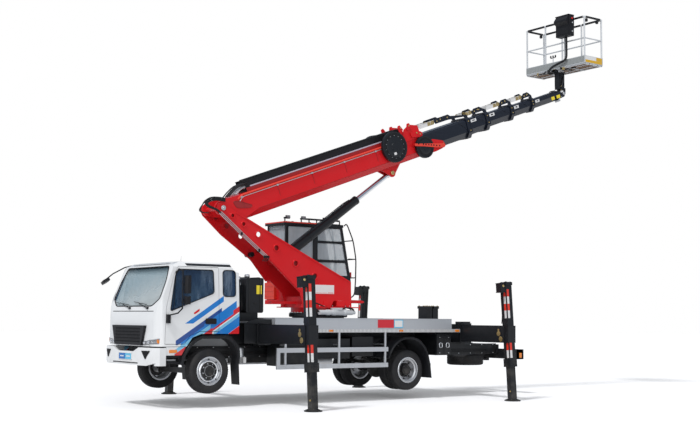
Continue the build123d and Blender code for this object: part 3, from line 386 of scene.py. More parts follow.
def door_finish():
    """Black cabin door whose pane, drawn in the same solid, is a pale blue-grey painted sky reflection."""
    finish = Finish("operator_door")
    x = finish.x - AXLE_1
    pane = x.between(2.780, 3.990) * finish.z.between(2.552, 3.553) * (abs(finish.y) < 1.166)
    cloud = finish.noise(3.0, 3.0)
    # The pane's pale blue-grey clouds are a painted sky reflection
    shade = finish.mix(pane, (0.008, 0.008, 0.010), finish.mix(cloud, (0.55, 0.63, 0.70), (0.36, 0.44, 0.52)))
    return finish.surface(shade, 0.40 - pane * 0.30 + cloud * 0.05, Specular_IOR_Level=0.35)


def lamp_lens():
    """Clear lens over dark bowls, with painted highlights as bright bars along them, and fine upright flutes whose
    edges are painted lighter as sheen.
    """
    finish = Finish("lamp_lens")
    flute = finish.y.wrapped(0.012) / 0.012
    wave = abs(flute - 0.5)
    bar = abs(finish.z.wrapped(0.026) / 0.026 - 0.5) < 0.20
    # Flute edges painted lighter as sheen
    shade = finish.mix(wave, (0.030, 0.032, 0.036), (0.14, 0.15, 0.17))
    # Bright bars are painted highlights
    shade = finish.mix(bar * 0.75, shade, (0.62, 0.64, 0.68))
    ridges = finish.bump(wave, 0.002, 0.5)
    return finish.surface(shade, 0.10 + wave * 0.15, ridges, Coat_Weight=0.6, Coat_Roughness=0.03)


def plain_paint(name, colour, rough=0.3, wear=0.25, **more):
    """A small painted or printed part: faint blotches in the colour and a fine grain."""
    finish = Finish(name)
    blotch = finish.noise(35.0, 3.0)
    shade = finish.mix(blotch * wear, colour, scaled(colour, 0.6))
    grain = finish.bump(finish.noise(300.0, 2.0), 0.0005, 0.3)
    return finish.surface(shade, rough + blotch * 0.12, grain, **more)


def reflector(name, colour):
    """Reflective sheet: small cells whose edges are a little darker, under a clear face."""
    finish = Finish(name)
    cell = finish.spots(140.0, 0.0)
    shade = finish.mix(finish.step(cell, 0.35, 0.6) * 0.25, colour, scaled(colour, 0.5))
    return finish.surface(shade, 0.25 + cell * 0.2, Coat_Weight=0.5, Coat_Roughness=0.1)


def dotted_strip():
    """The deck's edge rail: light metal with a row of pale reflective dots."""
    finish = Finish("dotted_strip")
    along = finish.x.wrapped(0.034) / 0.034
    dot = along.between(0.2, 0.75)
    shade = finish.mix(dot, (0.34, 0.35, 0.37), (0.78, 0.78, 0.77))
    return finish.surface(shade, 0.32 + dot * 0.1, Metallic=0.3)


def slatted():
    """Brown decking boards: a gap every board painted near-black as shade, and grain along them."""
    finish = Finish("slatted")
    gap = (finish.y.wrapped(0.11) / 0.11) < 0.16
    grain = finish.noise(60.0, 4.0, stretch=(0.1, 1.0, 1.0))
    wood = finish.mix(grain, (0.26, 0.15, 0.08), (0.13, 0.07, 0.04))
    # The gaps between boards are painted shade
    return finish.surface(finish.mix(gap, wood, (0.012, 0.010, 0.009)), 0.65 + grain * 0.15,
                          finish.bump(grain, 0.001, 0.3))


# By name; where the frame has a material of the same name, Blender adds a dot and a number to the new one's
FINISHES = {material.name.split(".")[0]: material for material in (
    coachwork(Finish("white_paint"), WHITE),
    striped_paint(),
    coachwork(Finish("red_paint"), RED, reach=0.9, dust=0.03, gloss=0.26, coat=0.06, shine=0.20),
    satin_black("black_paint", (0.009, 0.010, 0.012), 0.16, 0.36),
    satin_black("reel_black", (0.008, 0.010, 0.014), 0.0, 0.42),
    black_boom(),
    brushed("deck_metal", (0.56, 0.58, 0.61), rough=0.42, metallic=0.55),
    brushed("bright_metal", (0.66, 0.67, 0.69), metallic=0.85),
    brushed("wheel_silver", (0.58, 0.59, 0.61), rough=0.32, scale=40.0, stretch=(1.0, 0.1, 1.0), metallic=0.75),
    brushed("polished", (0.80, 0.81, 0.83), rough=0.16, scale=90.0, stretch=(1.0, 0.1, 1.0), dust=0.1),
    brushed("toe_grey", (0.34, 0.36, 0.36), rough=0.5, dust=0.0, metallic=0.2),
    brushed("basket_paint", (0.66, 0.68, 0.70), rough=0.36, dust=0.0, metallic=0.25),
    chromed(),
    tyre_rubber(),
    moulded("black_plastic", (0.008, 0.008, 0.010)),
    moulded("grey_plastic", (0.015, 0.016, 0.019), 0.45),
    # deep_black: black plastic and print, and painted shade in holes, recesses and slots
    moulded("deep_black", (0.004, 0.004, 0.005), 0.7),
    moulded("hose", (0.012, 0.012, 0.013), 0.45, 900.0),
    moulded("seat_black", (0.022, 0.022, 0.024), 0.62, 700.0),
    cab_glazing(),
    # The control cabin's pane: its pale blue-grey is partly a painted sky reflection
    glazing("cabin_glass", (0.60, 0.68, 0.74), 0.36),
    door_finish(),
    lamp_lens(),
    plain_paint("brass", (0.70, 0.52, 0.22), 0.28, 0.3, Metallic=0.9),
    plain_paint("zinc", (0.62, 0.63, 0.64), 0.34, 0.4, Metallic=0.85),
    plain_paint("amber", (0.85, 0.24, 0.015), 0.15, 0.2, Coat_Weight=0.8),
    plain_paint("red_lens", (0.62, 0.012, 0.012), 0.15, 0.2, Coat_Weight=0.8),
    plain_paint("yellow_label", (0.88, 0.70, 0.03), 0.4, 0.1),
    plain_paint("ochre_label", (0.72, 0.42, 0.02), 0.4, 0.2),
    plain_paint("label_white", (0.78, 0.78, 0.78), 0.35, 0.1),
    # cyan_plate: a sign's rim, and the number plate's near half painted lighter as a highlight
    plain_paint("cyan_plate", (0.12, 0.52, 0.78), 0.35, 0.1),
    plain_paint("blue_plate", (0.015, 0.16, 0.50), 0.35, 0.1),
    plain_paint("sign_red", (0.62, 0.020, 0.035), 0.35, 0.1),
    plain_paint("lilac", (0.52, 0.50, 0.60), 0.35, 0.2),
    # dark_red: the seams' own colour, and painted shade inside the turret's hole cups
    plain_paint("dark_red", (0.30, 0.008, 0.010), 0.4, 0.3),
    # A darker red painted as shade in recesses and under the tray's edge
    plain_paint("shaded_red", (0.34, 0.012, 0.014), 0.4, 0.2),
    plain_paint("bright_red", (0.80, 0.055, 0.030), 0.3, 0.15),
    reflector("strip_red", (0.78, 0.035, 0.015)),
    reflector("strip_white", (0.80, 0.80, 0.80)),
    dotted_strip(),
    slatted(),
    cast_grey())}

SPECIAL = {"cab_shell": "striped_paint", "door_left": "striped_paint", "door_right": "striped_paint",
           "front_bumper": "striped_paint", "operator_glass": "cabin_glass", "operator_door": "operator_door"}


def dress_solids():
    """Give each modelled node its finish; merged, edge-split copies of its triangles shade smoothly."""
    slots = {part["node"]: part["material_slot"] for part in frame["record"]["subparts"]}
    for name, node in frame["nodes"].items():
        node.data.materials.clear()
        node.data.materials.append(FINISHES[SPECIAL.get(name, slots[name])])
        node.data.polygons.foreach_set("use_smooth", np.ones(len(node.data.polygons), bool))
        node.modifiers.new("weld", "WELD").merge_threshold = 1e-5
        node.modifiers.new("split", "EDGE_SPLIT").split_angle = radians(28)


dress_solids()


# Shells of new pieces

CORNERS = np.array([[0, 0, 0], [1, 0, 0], [1, 1, 0], [0, 1, 0], [0, 0, 1], [1, 0, 1], [1, 1, 1], [0, 1, 1]])
BOX_FACES = np.array([[0, 3, 2, 1], [4, 5, 6, 7], [0, 1, 5, 4], [1, 2, 6, 5], [2, 3, 7, 6], [3, 0, 4, 7]])
TRUCK = (np.array([AXLE_1, 0.0, 0.0]), np.eye(3))
BOOM = (np.array(along_boom(0, 0, 0)),
        np.array([[cos(BOOM_ANGLE), 0, sin(BOOM_ANGLE)], [0, 1, 0], [-sin(BOOM_ANGLE), 0, cos(BOOM_ANGLE)]]))


def unit(vectors):
    """Vectors scaled to length 1, for whole arrays."""
    return vectors / np.maximum(np.linalg.norm(vectors, axis=-1, keepdims=True), 1e-12)


def square_to(axis):
    """Two unit directions that are square to an axis and to each other."""
    axis = unit(np.array(axis, float))
    side = unit(np.cross(axis, UP if abs(axis[2]) < 0.9 else ALONG))
    return axis, side, np.cross(axis, side)


def rounded(points, radius, steps=5):
    """A path whose corners are quadratic curves that leave the straight runs a radius before each corner."""
    points = np.asarray(points, float)
    before, corner, after = points[:-2], points[1:-1], points[2:]
    back, ahead = before - corner, after - corner
    back_reach = np.minimum(radius, 0.48 * np.linalg.norm(back, axis=1))[:, None]
    ahead_reach = np.minimum(radius, 0.48 * np.linalg.norm(ahead, axis=1))[:, None]
    start, end = corner + unit(back) * back_reach, corner + unit(ahead) * ahead_reach
    t = np.linspace(0, 1, steps)[None, :, None]
    curves = (1 - t) ** 2 * start[:, None] + 2 * t * (1 - t) * corner[:, None] + t ** 2 * end[:, None]
    return np.concatenate([points[:1], curves.reshape(-1, points.shape[1]), points[-1:]])


def rounded_outline(points, radius, steps=4):
    """A closed outline with each corner rounded the same way."""
    points = np.asarray(points, float)
    wrapped = np.concatenate([points[-1:], points, points[:1]])
    return rounded(wrapped, radius, steps)[1:-1]


def rect(a0, a1, b0, b1):
    """The outline of a rectangle between limits on two axes."""
    return [(a0, b0), (a0, b1), (a1, b1), (a1, b0)]


def in_plane(outline, level, normal=1):
    """An outline on two axes as points in space, with a level, or one for each point, on the normal axis."""
    return np.insert(np.asarray(outline, float), normal, level, axis=1)


def circle(count, start=0.0):
    """Cosine and sine of angles spread evenly round, the first of them start steps on."""
    angle = tau * (np.arange(count) + start) / count
    return np.stack([np.cos(angle), np.sin(angle)], -1)


def span(hand, near, far):
    """Limits on Y of a stretch on one side of the truck, in rising order."""
    return sorted((hand * near, hand * far))

class Form:
    """Closed shells gathered for one mesh, in the frame that the piece is placed by."""

    def __init__(self):
        self.points = []
        self.faces = []
        self.total = 0

    def add(self, points, faces):
        """Keep a shell; faces are rows of point numbers counted from the shell's own first point."""
        points = np.asarray(points, float).reshape(-1, 3)
        self.points.append(points)
        self.faces += (np.asarray(faces) + self.total).tolist()
        self.total += len(points)
        return self

    def grid(self, points, loop=False):
        """A shell over points of shape (rows, columns, 3) whose columns run round; rows close up too if loop."""
        rows, columns = points.shape[:2]
        row = np.arange(rows if loop else rows - 1)[:, None]
        column = np.arange(columns)[None, :]
        low, high = row * columns, (row + 1) % rows * columns
        right = (column + 1) % columns
        faces = np.stack([low + column, low + right, high + right, high + column], -1).reshape(-1, 4)
        self.add(points, faces)
        if not loop:
            first = self.total - rows * columns
            self.faces.append(list(range(first, first + columns)))
            self.faces.append(list(range(self.total - columns, self.total)))
        return self

    def tube(self, path, radius, sides=8, loop=False, bend=None):
        """A round bar: a circle of the radius in the plane square to the path at each of its points."""
        path = rounded(path, bend) if bend else np.asarray(path, float)
        ahead = np.roll(path, -1, 0) - np.roll(path, 1, 0)
        if not loop:
            ahead[0], ahead[-1] = path[1] - path[0], path[-1] - path[-2]
        ahead = unit(ahead)
        flat = np.linalg.svd(path - path.mean(0))[2][2]
        across = unit(np.cross(ahead, flat))
        upward = np.cross(ahead, across)
        angle = tau * np.arange(sides)[None, :, None] / sides
        radius = np.broadcast_to(radius, len(path))[:, None, None]
        spokes = np.cos(angle) * across[:, None] + np.sin(angle) * upward[:, None]
        return self.grid(path[:, None] + radius * spokes, loop)

    def turned(self, profile, centre, axis=ACROSS, count=40, loop=False):
        """A profile of (distance along the axis, radius) turned about an axis through the centre."""
        axis, side, other = square_to(axis)
        along, radius = np.asarray(profile, float).T[:, :, None, None]
        angle = tau * np.arange(count)[None, :, None] / count
        spokes = np.cos(angle) * side + np.sin(angle) * other
        return self.grid(np.asarray(centre, float) + along * axis + radius * spokes, loop)

    def blocks(self, rows):
        """Boxes from rows of low and high limits on each axis."""
        limits = np.asarray(rows, float).reshape(-1, 1, 3, 2)
        points = limits[..., 0] * (1 - CORNERS) + limits[..., 1] * CORNERS
        return self.add(points, (np.arange(len(limits))[:, None, None] * 8 + BOX_FACES).reshape(-1, 4))

    def plate(self, outline, limits, normal=1, corner=0.0):
        """A flat plate: an outline on the two other axes, carried between limits on the normal axis."""
        outline = rounded_outline(outline, corner) if corner else outline
        return self.grid(np.stack([in_plane(outline, limit, normal) for limit in limits]))

    def bolts(self, centres, axis, radius, height):
        """Hexagon heads: three rings of six corners, the top ring drawn in, at each centre."""
        axis, side, other = square_to(axis)
        level = np.array([0.0, 0.8, 1.0])[:, None, None] * height
        spread = np.array([1.0, 1.0, 0.85])[:, None, None] * radius
        angle = tau * np.arange(6)[None, :, None] / 6
        shape = level * axis + spread * (np.cos(angle) * side + np.sin(angle) * other)
        for centre in np.asarray(centres, float).reshape(-1, 3):
            self.grid(centre + shape)
        return self

    def mirrored(self):
        """The same shells again on the truck's other side."""
        self.points += [shell * (1, -1, 1) for shell in self.points]
        self.faces += [[number + self.total for number in face] for face in self.faces]
        self.total *= 2
        return self

def piece(name, form, body, finish, place=TRUCK, bevel=0.0, turn=35, replaces=()):
    """One mesh of a form's shells in the row frame: doubles merged, faces outward, shaded and hung on its body."""
    origin, axes = place
    mesh = bpy.data.meshes.new(name)
    mesh.from_pydata((np.concatenate(form.points) @ axes + origin).tolist(), [], form.faces)
    work = bmesh.new()
    work.from_mesh(mesh)
    bmesh.ops.remove_doubles(work, verts=work.verts, dist=1e-6)
    bmesh.ops.recalc_face_normals(work, faces=work.faces)
    work.to_mesh(mesh)
    work.free()
    mesh.shade_smooth()
    mesh.set_sharp_from_angle(angle=radians(turn))
    mesh.materials.append(FINISHES[finish])
    item = bpy.data.objects.new(name, mesh)
    bpy.context.scene.collection.objects.link(item)
    if bevel:
        edge = item.modifiers.new("bevel", "BEVEL")
        edge.width = bevel
        edge.segments = 2
        edge.limit_method = "ANGLE"
        edge.angle_limit = radians(40)
        edge.harden_normals = True
    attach(item, body)
    if replaces:
        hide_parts(*replaces)


# Wheels

TREAD_HALF = 0.084
TYRE_STEPS = 180
SIPE_DEPTH = 0.007
STUD_RING = 0.1375
# Profiles turned about an axle, as distance outward and radius
LIP = [(-0.012, 0.250), (-0.004, 0.264), (0.003, 0.267), (0.006, 0.262), (0.004, 0.255), (-0.006, 0.247)]
POLISHED_RING = [(-0.002, 0.222), (0.010, 0.216), (0.022, 0.200), (0.026, 0.186), (0.020, 0.170), (0.004, 0.162),
                 (-0.004, 0.170), (-0.008, 0.205)]
# A black ring in the rim's well, painted shade
FRONT_WELL_SHADE = [(-0.004, 0.222), (0.002, 0.224), (0.002, 0.250), (-0.002, 0.2515), (-0.008, 0.248), (-0.010, 0.224)]
FRONT_HUB = [(-0.02, 0.172), (0.016, 0.172), (0.024, 0.164), (0.024, 0.110), (0.030, 0.104), (0.052, 0.098),
             (0.058, 0.088), (0.058, 0.060), (0.054, 0.056), (0.054, 0.0005)]
REAR_HUB = [(0.0, 0.150), (0.016, 0.148), (0.024, 0.118), (0.074, 0.112), (0.088, 0.106), (0.090, 0.080),
            (0.104, 0.074), (0.110, 0.062), (0.110, 0.0005)]


def tyre_profile():
    """Closed outline of a tyre, as Y and radius: beads, ribbed sidewalls and a tread with four grooves."""
    wall = np.array([(0.0965, 0.249), (0.1045, 0.264), (0.1120, 0.275), (0.1160, 0.286), (0.1185, 0.292),
                     (0.1182, 0.300), (0.1205, 0.312), (0.1222, 0.328), (0.1225, 0.340), (0.1216, 0.352),
                     (0.1222, 0.356), (0.1218, 0.362), (0.1196, 0.366), (0.1160, 0.379), (0.1105, 0.393),
                     (0.1040, 0.404), (0.0960, 0.4115), (TREAD_HALF, 0.4165)])
    groove = np.array([(0.0060, 0.0), (0.0045, -0.010), (-0.0045, -0.010), (-0.0060, 0.0)])
    centres = np.array([0.055, 0.018, -0.018, -0.055])
    tread = centres[:, None, None] * (1, 0) + groove[None]
    crown = 0.4190 - 0.0025 * (tread[..., 0] / TREAD_HALF) ** 2
    tread = np.stack([tread[..., 0], crown + tread[..., 1]], -1).reshape(-1, 2)
    return np.concatenate([wall, tread, wall[::-1] * (-1, 1)])


def tyre(form, x, y, z):
    """A tyre: the outline turned about its axle line, each third step of the shoulders sunk as a sipe."""
    outline = tyre_profile()
    shoulder = (np.abs(outline[:, 0]) > 0.075) & (np.abs(outline[:, 0]) < 0.112) & (outline[:, 1] > 0.39)
    sipe = (np.arange(TYRE_STEPS) % 3 == 0)[:, None] & shoulder[None, :]
    radius = outline[None, :, 1] - SIPE_DEPTH * sipe
    angle = (tau * np.arange(TYRE_STEPS) / TYRE_STEPS)[:, None]
    points = np.stack([x + radius * np.cos(angle), y + np.broadcast_to(outline[:, 0], radius.shape),
                       z + radius * np.sin(angle)], -1)
    return form.grid(points, loop=True)


def front_wheel(side_name, hand):
    """Tyre, rim edge, polished ring, hub cover with a black ring of painted shade in the rim's well, nuts with their
    studs, and dark discs of painted shade in the hand holes of a steered wheel.
    """
    body, outward = f"{side_name}_front_wheel", (0, hand, 0)
    y, z = hand * FRONT_WHEEL[0], FRONT_WHEEL[1]
    face = y + hand * 0.066
    piece(f"road_tyre_front_{side_name}", tyre(Form(), 0, y, z), body, "tyre_rubber", turn=28,
          replaces=(f"tyre_front_{side_name}",))
    lip = Form().turned(LIP, (0, y + hand * (TYRE_W / 2 - 0.012), z), outward, 72, loop=True)
    piece(f"rim_edge_front_{side_name}", lip, body, "polished")
    ring = Form().turned(POLISHED_RING, (0, face, z), outward, 72, loop=True)
    piece(f"polished_ring_{side_name}", ring, body, "polished")
    # The black ring in the rim's well is painted shade
    hub = Form().turned(FRONT_WELL_SHADE, (0, face - hand * 0.012, z), outward, 60, loop=True)
    hub.turned(FRONT_HUB, (0, face, z), outward, 48)
    piece(f"hub_cover_and_well_shade_{side_name}", hub, body, "black_paint", bevel=0.0015)
    nuts = Form()
    for c, s in circle(8, 0.35):
        spot = np.array([STUD_RING * c, face + hand * 0.020, z + STUD_RING * s])
        nuts.bolts(spot + (0, hand * 0.004, 0), outward, 0.0125, 0.022)
        nuts.turned([(0.020, 0.0075), (0.036, 0.0075), (0.039, 0.0055)], spot, outward, 10)
    piece(f"wheel_nuts_front_{side_name}", nuts, body, "polished")
    # Dark discs in the hand holes are painted shade
    holes = Form()
    for c, s in circle(8):
        holes.turned([(0.0, 0.021), (0.0095, 0.020), (0.010, 0.0165)],
                     (0.214 * c, face + hand * 0.006, z + 0.214 * s), outward, 18)
    piece(f"hand_holes_front_{side_name}", holes, body, "deep_black")


def rear_wheels(side_name, hand):
    """Twin tyres, the outer rim's edge and steps, the deep hub, dark discs of painted shade in the hand holes, and
    the nuts of one side of the rear axle.
    """
    body, outward = f"{side_name}_rear_wheels", (0, hand, 0)
    z = REAR_OUTER[1]
    face = hand * (REAR_OUTER[0] - 0.018)
    tyres = tyre(Form(), WHEELBASE, hand * REAR_OUTER[0], z)
    piece(f"road_tyres_rear_{side_name}", tyre(tyres, WHEELBASE, hand * REAR_INNER_Y, z), body, "tyre_rubber",
          turn=28, replaces=(f"tyres_rear_{side_name}",))
    edge = (WHEELBASE, hand * (REAR_OUTER[0] + TYRE_W / 2 - 0.012), z)
    lip = Form().turned(LIP, edge, outward, 72, loop=True)
    for depth, radius in ((0.022, 0.243), (0.040, 0.232), (0.060, 0.214)):
        lip.turned([(-depth, radius + 0.004), (0.005 - depth, radius + 0.002), (0.004 - depth, radius - 0.003),
                    (-0.004 - depth, radius - 0.004)], edge, outward, 72, loop=True)
    piece(f"rim_edge_rear_{side_name}", lip, body, "polished")
    hub = Form().turned(REAR_HUB, (WHEELBASE, face, z), outward, 40)
    # Dark discs in the hand holes are painted shade
    for c, s in circle(8):
        hub.turned([(0.0, 0.025), (0.003, 0.024), (0.0035, 0.021)],
                   (WHEELBASE + 0.180 * c, face - hand * 0.010, z + 0.180 * s), outward, 16)
    piece(f"rear_hub_{side_name}", hub, body, "black_paint")
    nuts = Form()
    for c, s in circle(8, 0.35):
        nuts.bolts((WHEELBASE + STUD_RING * c, face + hand * 0.018, z + STUD_RING * s), outward, 0.0145, 0.024)
        nuts.bolts((WHEELBASE + 0.092 * c, face + hand * 0.089, z + 0.090 * s), outward, 0.007, 0.007)
    piece(f"wheel_nuts_rear_{side_name}", nuts, body, "black_plastic")


for side_name, hand in HANDS:
    front_wheel(side_name, hand)
    rear_wheels(side_name, hand)

SPARE_X = 7.33
spare = tyre(Form(), 0, 0, 0)
spare.points = [shell[:, [0, 2, 1]] * (1, 1, -1) + (SPARE_X, 0.0, 0.7505) for shell in spare.points]
spare.turned([(-0.03, 0.249), (-0.03, 0.10), (0.03, 0.10), (0.03, 0.249)], (SPARE_X, 0, 0.74), UP, 48, loop=True)
spare.bolts([(SPARE_X + STUD_RING * c, STUD_RING * s, 0.71) for c, s in circle(8)], (0, 0, -1), 0.016, 0.02)
spare.blocks([(7.29, 7.37, -0.04, 0.04, 0.74, 0.94), (7.29, 7.37, -0.422, 0.422, 0.90, 0.94),
              (7.26, 7.40, -0.11, 0.11, 0.70, 0.716)])
piece("spare_tyre", spare, "chassis", "tyre_rubber", turn=28, replaces=("spare_wheel",))


# Cab trim

def front_x(z):
    """X of the cab's leaning front at a height, from its side outline."""
    return np.interp(z, (1.135, 1.43, 1.86, 2.64, 2.70), (-1.125, -1.115, -1.042, -0.735, -0.600))


def flank_y(z):
    """Distance of the cab's side from the middle plane at a height, from its front outline."""
    return np.interp(z, (1.78, 2.60, 2.70), (1.070, 1.020, 0.930))


def flank_seal(form, outline, corner=0.05):
    """A closed rubber seal that follows an outline of X and Z on the cab's leaning left side."""
    path = rounded_outline(outline, corner, 6)
    form.tube(in_plane(path, -flank_y(path[:, 1]) - 0.001), 0.009, 6, loop=True)


DOOR_WINDOW = [(-0.822, 1.778), (-0.712, 2.450), (-0.640, 2.555), (0.085, 2.555), (0.100, 2.125)]
QUARTER_WINDOW = rect(0.290, 0.565, 2.065, 2.560)
WINDSCREEN = [(-0.750, 1.872), (-0.965, 2.010), (-0.945, 2.340), (-0.850, 2.612), (0.850, 2.612), (0.945, 2.340),
              (0.965, 2.010), (0.750, 1.872)]

seals = Form()
flank_seal(seals, QUARTER_WINDOW, corner=0.07)
seals.mirrored()
path = rounded_outline(WINDSCREEN, 0.06, 6)
seals.tube(in_plane(path, front_x(path[:, 1]) - 0.001, 0), 0.011, 6, loop=True)
piece("window_seals", seals, "cab", "black_plastic")

for side_name, hand in HANDS:
    door_trim = Form()
    flank_seal(door_trim, DOOR_WINDOW)
    door_trim.tube([(-0.700, -flank_y(2.52), 2.52), (-0.745, -1.060, 1.800)], 0.007, 6)
    door_trim.plate(rect(-0.090, 0.130, 1.548, 1.652), (-1.106, -1.069), corner=0.022)
    door_trim.points = [shell * (1, -hand, 1) for shell in door_trim.points]
    piece(f"door_trim_{side_name}", door_trim, f"{side_name}_door", "black_plastic", bevel=0.003)

wipers = Form()
for pivot, tip, blade in (((-0.62, 1.835), (-0.20, 1.935), ((-0.55, 1.900), (0.02, 1.955))),
                          ((0.12, 1.835), (0.55, 1.935), ((0.20, 1.900), (0.80, 1.945)))):
    for (start, end), radius, out in (((pivot, tip), 0.007, 0.030), (blade, 0.006, 0.018)):
        wipers.tube([(front_x(z) - out, y, z) for y, z in (start, end)], radius, 6)
    wipers.turned([(0, 0.022), (-0.03, 0.022), (-0.036, 0.014)], (front_x(pivot[1]), *pivot), ALONG, 14)
wipers.blocks([(-1.058, -1.046, -0.86, 0.86, 1.770, 1.784)])
piece("wipers", wipers, "cab", "black_plastic")

aerial = Form().turned([(0, 0.050), (0.012, 0.050), (0.022, 0.034), (0.026, 0.010), (0.120, 0.005)],
                       (-0.40, -0.62, 2.698), (0.15, 0, 1), 16)
piece("roof_aerial", aerial, "cab", "label_white")

brow = Form().plate([(-0.69, 2.668), (-0.60, 2.704), (0.42, 2.704), (0.42, 2.698), (-0.60, 2.698), (-0.682, 2.664)],
                    (-0.70, 0.70))
piece("roof_brow", brow, "cab", "white_paint")

grille = Form().blocks([(-1.149, -1.1335, -0.53, 0.53, 1.200, 1.476)])
grille.blocks([(-1.1535, -1.148, -0.51, 0.51, z, z + 0.007) for z in np.arange(1.218, 1.47, 0.0300)])
grille.blocks([(-1.1525, -1.149, y - 0.003, y + 0.003, 1.205, 1.470) for y in np.arange(-0.48, 0.49, 0.06)])
piece("grille_mesh", grille, "cab", "deep_black")

barrels = Form()
for x, y, z, radius in ((-1.118, -0.65, 1.197, 0.025), (-1.108, -0.80, 1.205, 0.027)):
    barrels.turned([(0, radius), (-0.016, radius / 1.05), (-0.022, radius / 1.5)], (x, y, z), ALONG, 20)
piece("lamp_barrels", barrels.mirrored(), "cab", "polished")

turn_lamps = Form().plate([(-1.050, 1.196), (-1.050, 1.262), (-0.995, 1.266), (-0.995, 1.190)], (-1.030, -0.985),
                          corner=0.01)
piece("turn_lamps", turn_lamps.mirrored(), "cab", "amber", bevel=0.003)

# Bumper: blank blue number plate in its frame, its near half painted lighter as a highlight; fog lamp recesses and
# air slots darkened with painted shade; side markers and cab steps
# The near half's lighter cyan is a painted highlight on the blue plate
for where, y0, y1, colour in (("near", -0.262, -0.004, "cyan_plate"), ("far", 0.004, 0.262, "blue_plate")):
    number_plate = Form().plate(rect(y0, y1, 0.885, 0.997), (-1.193, -1.185), 0, 0.008)
    piece(f"number_plate_{where}", number_plate, "chassis", colour, bevel=0.0015)
plate_frame = Form().blocks([(-1.195, -1.184, *bar)
                             for bar in ((-0.272, 0.272, 0.878, 0.885), (-0.272, 0.272, 0.997, 1.003),
                                         (-0.272, -0.265, 0.878, 1.003), (0.265, 0.272, 0.878, 1.003))])
plate_frame.blocks([(-1.1945, -1.192, y - 0.075, y + 0.075, 0.930, 0.952) for y in (-0.13, 0.13)])
piece("plate_frame", plate_frame, "chassis", "label_white")

# Dark sheets in the fog lamp recesses and air slots are painted shade
corners = rounded_outline([(0.655, 1.054), (0.915, 1.060), (0.905, 1.035), (0.800, 0.905), (0.780, 0.905)], 0.012)
bumper_face = np.interp(corners[:, 0], (0.0, 0.560, 0.850, 1.010, 1.085), (-1.186, -1.186, -1.158, -1.105, -1.025))
recesses = Form().grid(np.stack([in_plane(corners, bumper_face + depth, 0) for depth in (-0.010, 0.006)])).mirrored()
recesses.blocks([(-1.1895, -1.184, y - 0.018, y + 0.018, 0.815, 0.838) for y in np.arange(-0.50, 0.51, 0.05)])
piece("bumper_recess_shades", recesses, "chassis", "deep_black")

markers = Form().plate(rect(-0.834, -0.670, 1.018, 1.077), (-1.079, -1.069), corner=0.012).mirrored()
piece("side_markers", markers, "chassis", "amber", bevel=0.003)

steps = Form()
for low in (0.935, 0.825):
    steps.blocks([(-0.885, -0.605, -1.058, -0.83, low, low + 0.030)])
    steps.blocks([(x, x + 0.012, -1.061, -1.054, low + 0.004, low + 0.026) for x in np.arange(-0.88, -0.61, 0.024)])
steps.blocks([(x, x + 0.014, -1.055, -1.035, 0.825, 0.950) for x in (-0.885, -0.619)])
piece("cab_steps", steps.mirrored(), "chassis", "black_plastic", bevel=0.002)


# Turret details

# Holes of the turret's plates, as X, Z and radius; the third stays open
HOLES = [(0.880, 3.676, 0.034), (1.136, 3.522, 0.036), (1.483, 3.334, 0.052), (1.915, 3.077, 0.052),
         (2.386, 2.781, 0.052), (2.865, 2.535, 0.052)]
# Stiffening strips along the plates' long edges, as two ends in X and Z and a width
PLATE_STRIPS = [((1.05, 3.335), (1.71, 2.892), 0.014), ((1.73, 2.877), (2.52, 2.207), 0.014),
                ((0.95, 3.737), (2.47, 3.020), 0.012), ((2.52, 2.997), (3.74, 2.432), 0.012)]
turret_trim = Form()
for start, end, wide in PLATE_STRIPS:
    start, end = np.array(start), np.array(end)
    run = unit(end - start)
    across = np.array([-run[1], run[0]]) * wide / 2
    turret_trim.plate([start - across, start + across, end + across, end - across],
                      (-PLATE_Y - 0.012, 0.001 - PLATE_Y))
for x, z, hole in HOLES:
    turret_trim.turned([(-0.011, hole + 0.026), (-0.016, hole + 0.022), (-0.016, hole + 0.004),
                        (-0.011, hole + 0.001), (0.002, hole + 0.001), (0.002, hole + 0.026)],
                       (x, -PLATE_Y, z), ACROSS, 36, loop=True)
turret_trim.blocks([(3.42, 3.62, -0.372, -0.350, 1.915, 2.034), (3.10, 3.22, -0.372, -0.350, 1.915, 2.030)])
turret_trim.mirrored()
turret_trim.plate([(3.790, 1.990), (3.790, 2.060), (4.160, 2.055), (4.240, 2.035), (4.240, 2.005), (4.160, 1.990)],
                  (-0.22, -0.12))
piece("turret_trim", turret_trim, "turret", "red_paint", bevel=0.002)

turret_bolts = Form().turned([(0, 0.052), (-0.024, 0.050), (-0.030, 0.042), (-0.030, 0.0005)],
                             (PIN[0], -PLATE_Y - 0.020, PIN[1]), ACROSS, 30)
turret_bolts.bolts([(PIN[0], -PLATE_Y - 0.050, PIN[1])], NEARWARD, 0.018, 0.012)
turret_bolts.bolts([(x, -PLATE_Y, 1.925) for x in np.arange(2.66, 3.77, 0.11)], NEARWARD, 0.012, 0.012)
turret_bolts.mirrored()
turret_bolts.bolts([(SLEW_X + 0.585 * c, 0.585 * s, 1.781) for c, s in circle(40)], UP, 0.013, 0.014)
piece("turret_bolts", turret_bolts, "turret", "zinc")

# Cups in the plates' holes, dark red as painted shade inside the holes
cups = Form()
for x, z, hole in HOLES[:2] + HOLES[3:]:
    cups.turned([(0.000, hole + 0.008), (0.046, hole + 0.008), (0.046, 0.0005), (0.040, 0.0005),
                 (0.040, hole + 0.001), (0.000, hole + 0.001)], (x, -PLATE_Y, z), ACROSS, 30, loop=True)
piece("hole_cups", cups.mirrored(), "turret", "dark_red")

TEETH = 120
radius = 0.603 + 0.010 * (np.arange(2 * TEETH) % 2)
ring_teeth = Form().plate(circle(2 * TEETH) * radius[:, None] + (SLEW_X, 0), (1.700, 1.768), 2)
piece("ring_teeth", ring_teeth, "chassis", "black_paint")

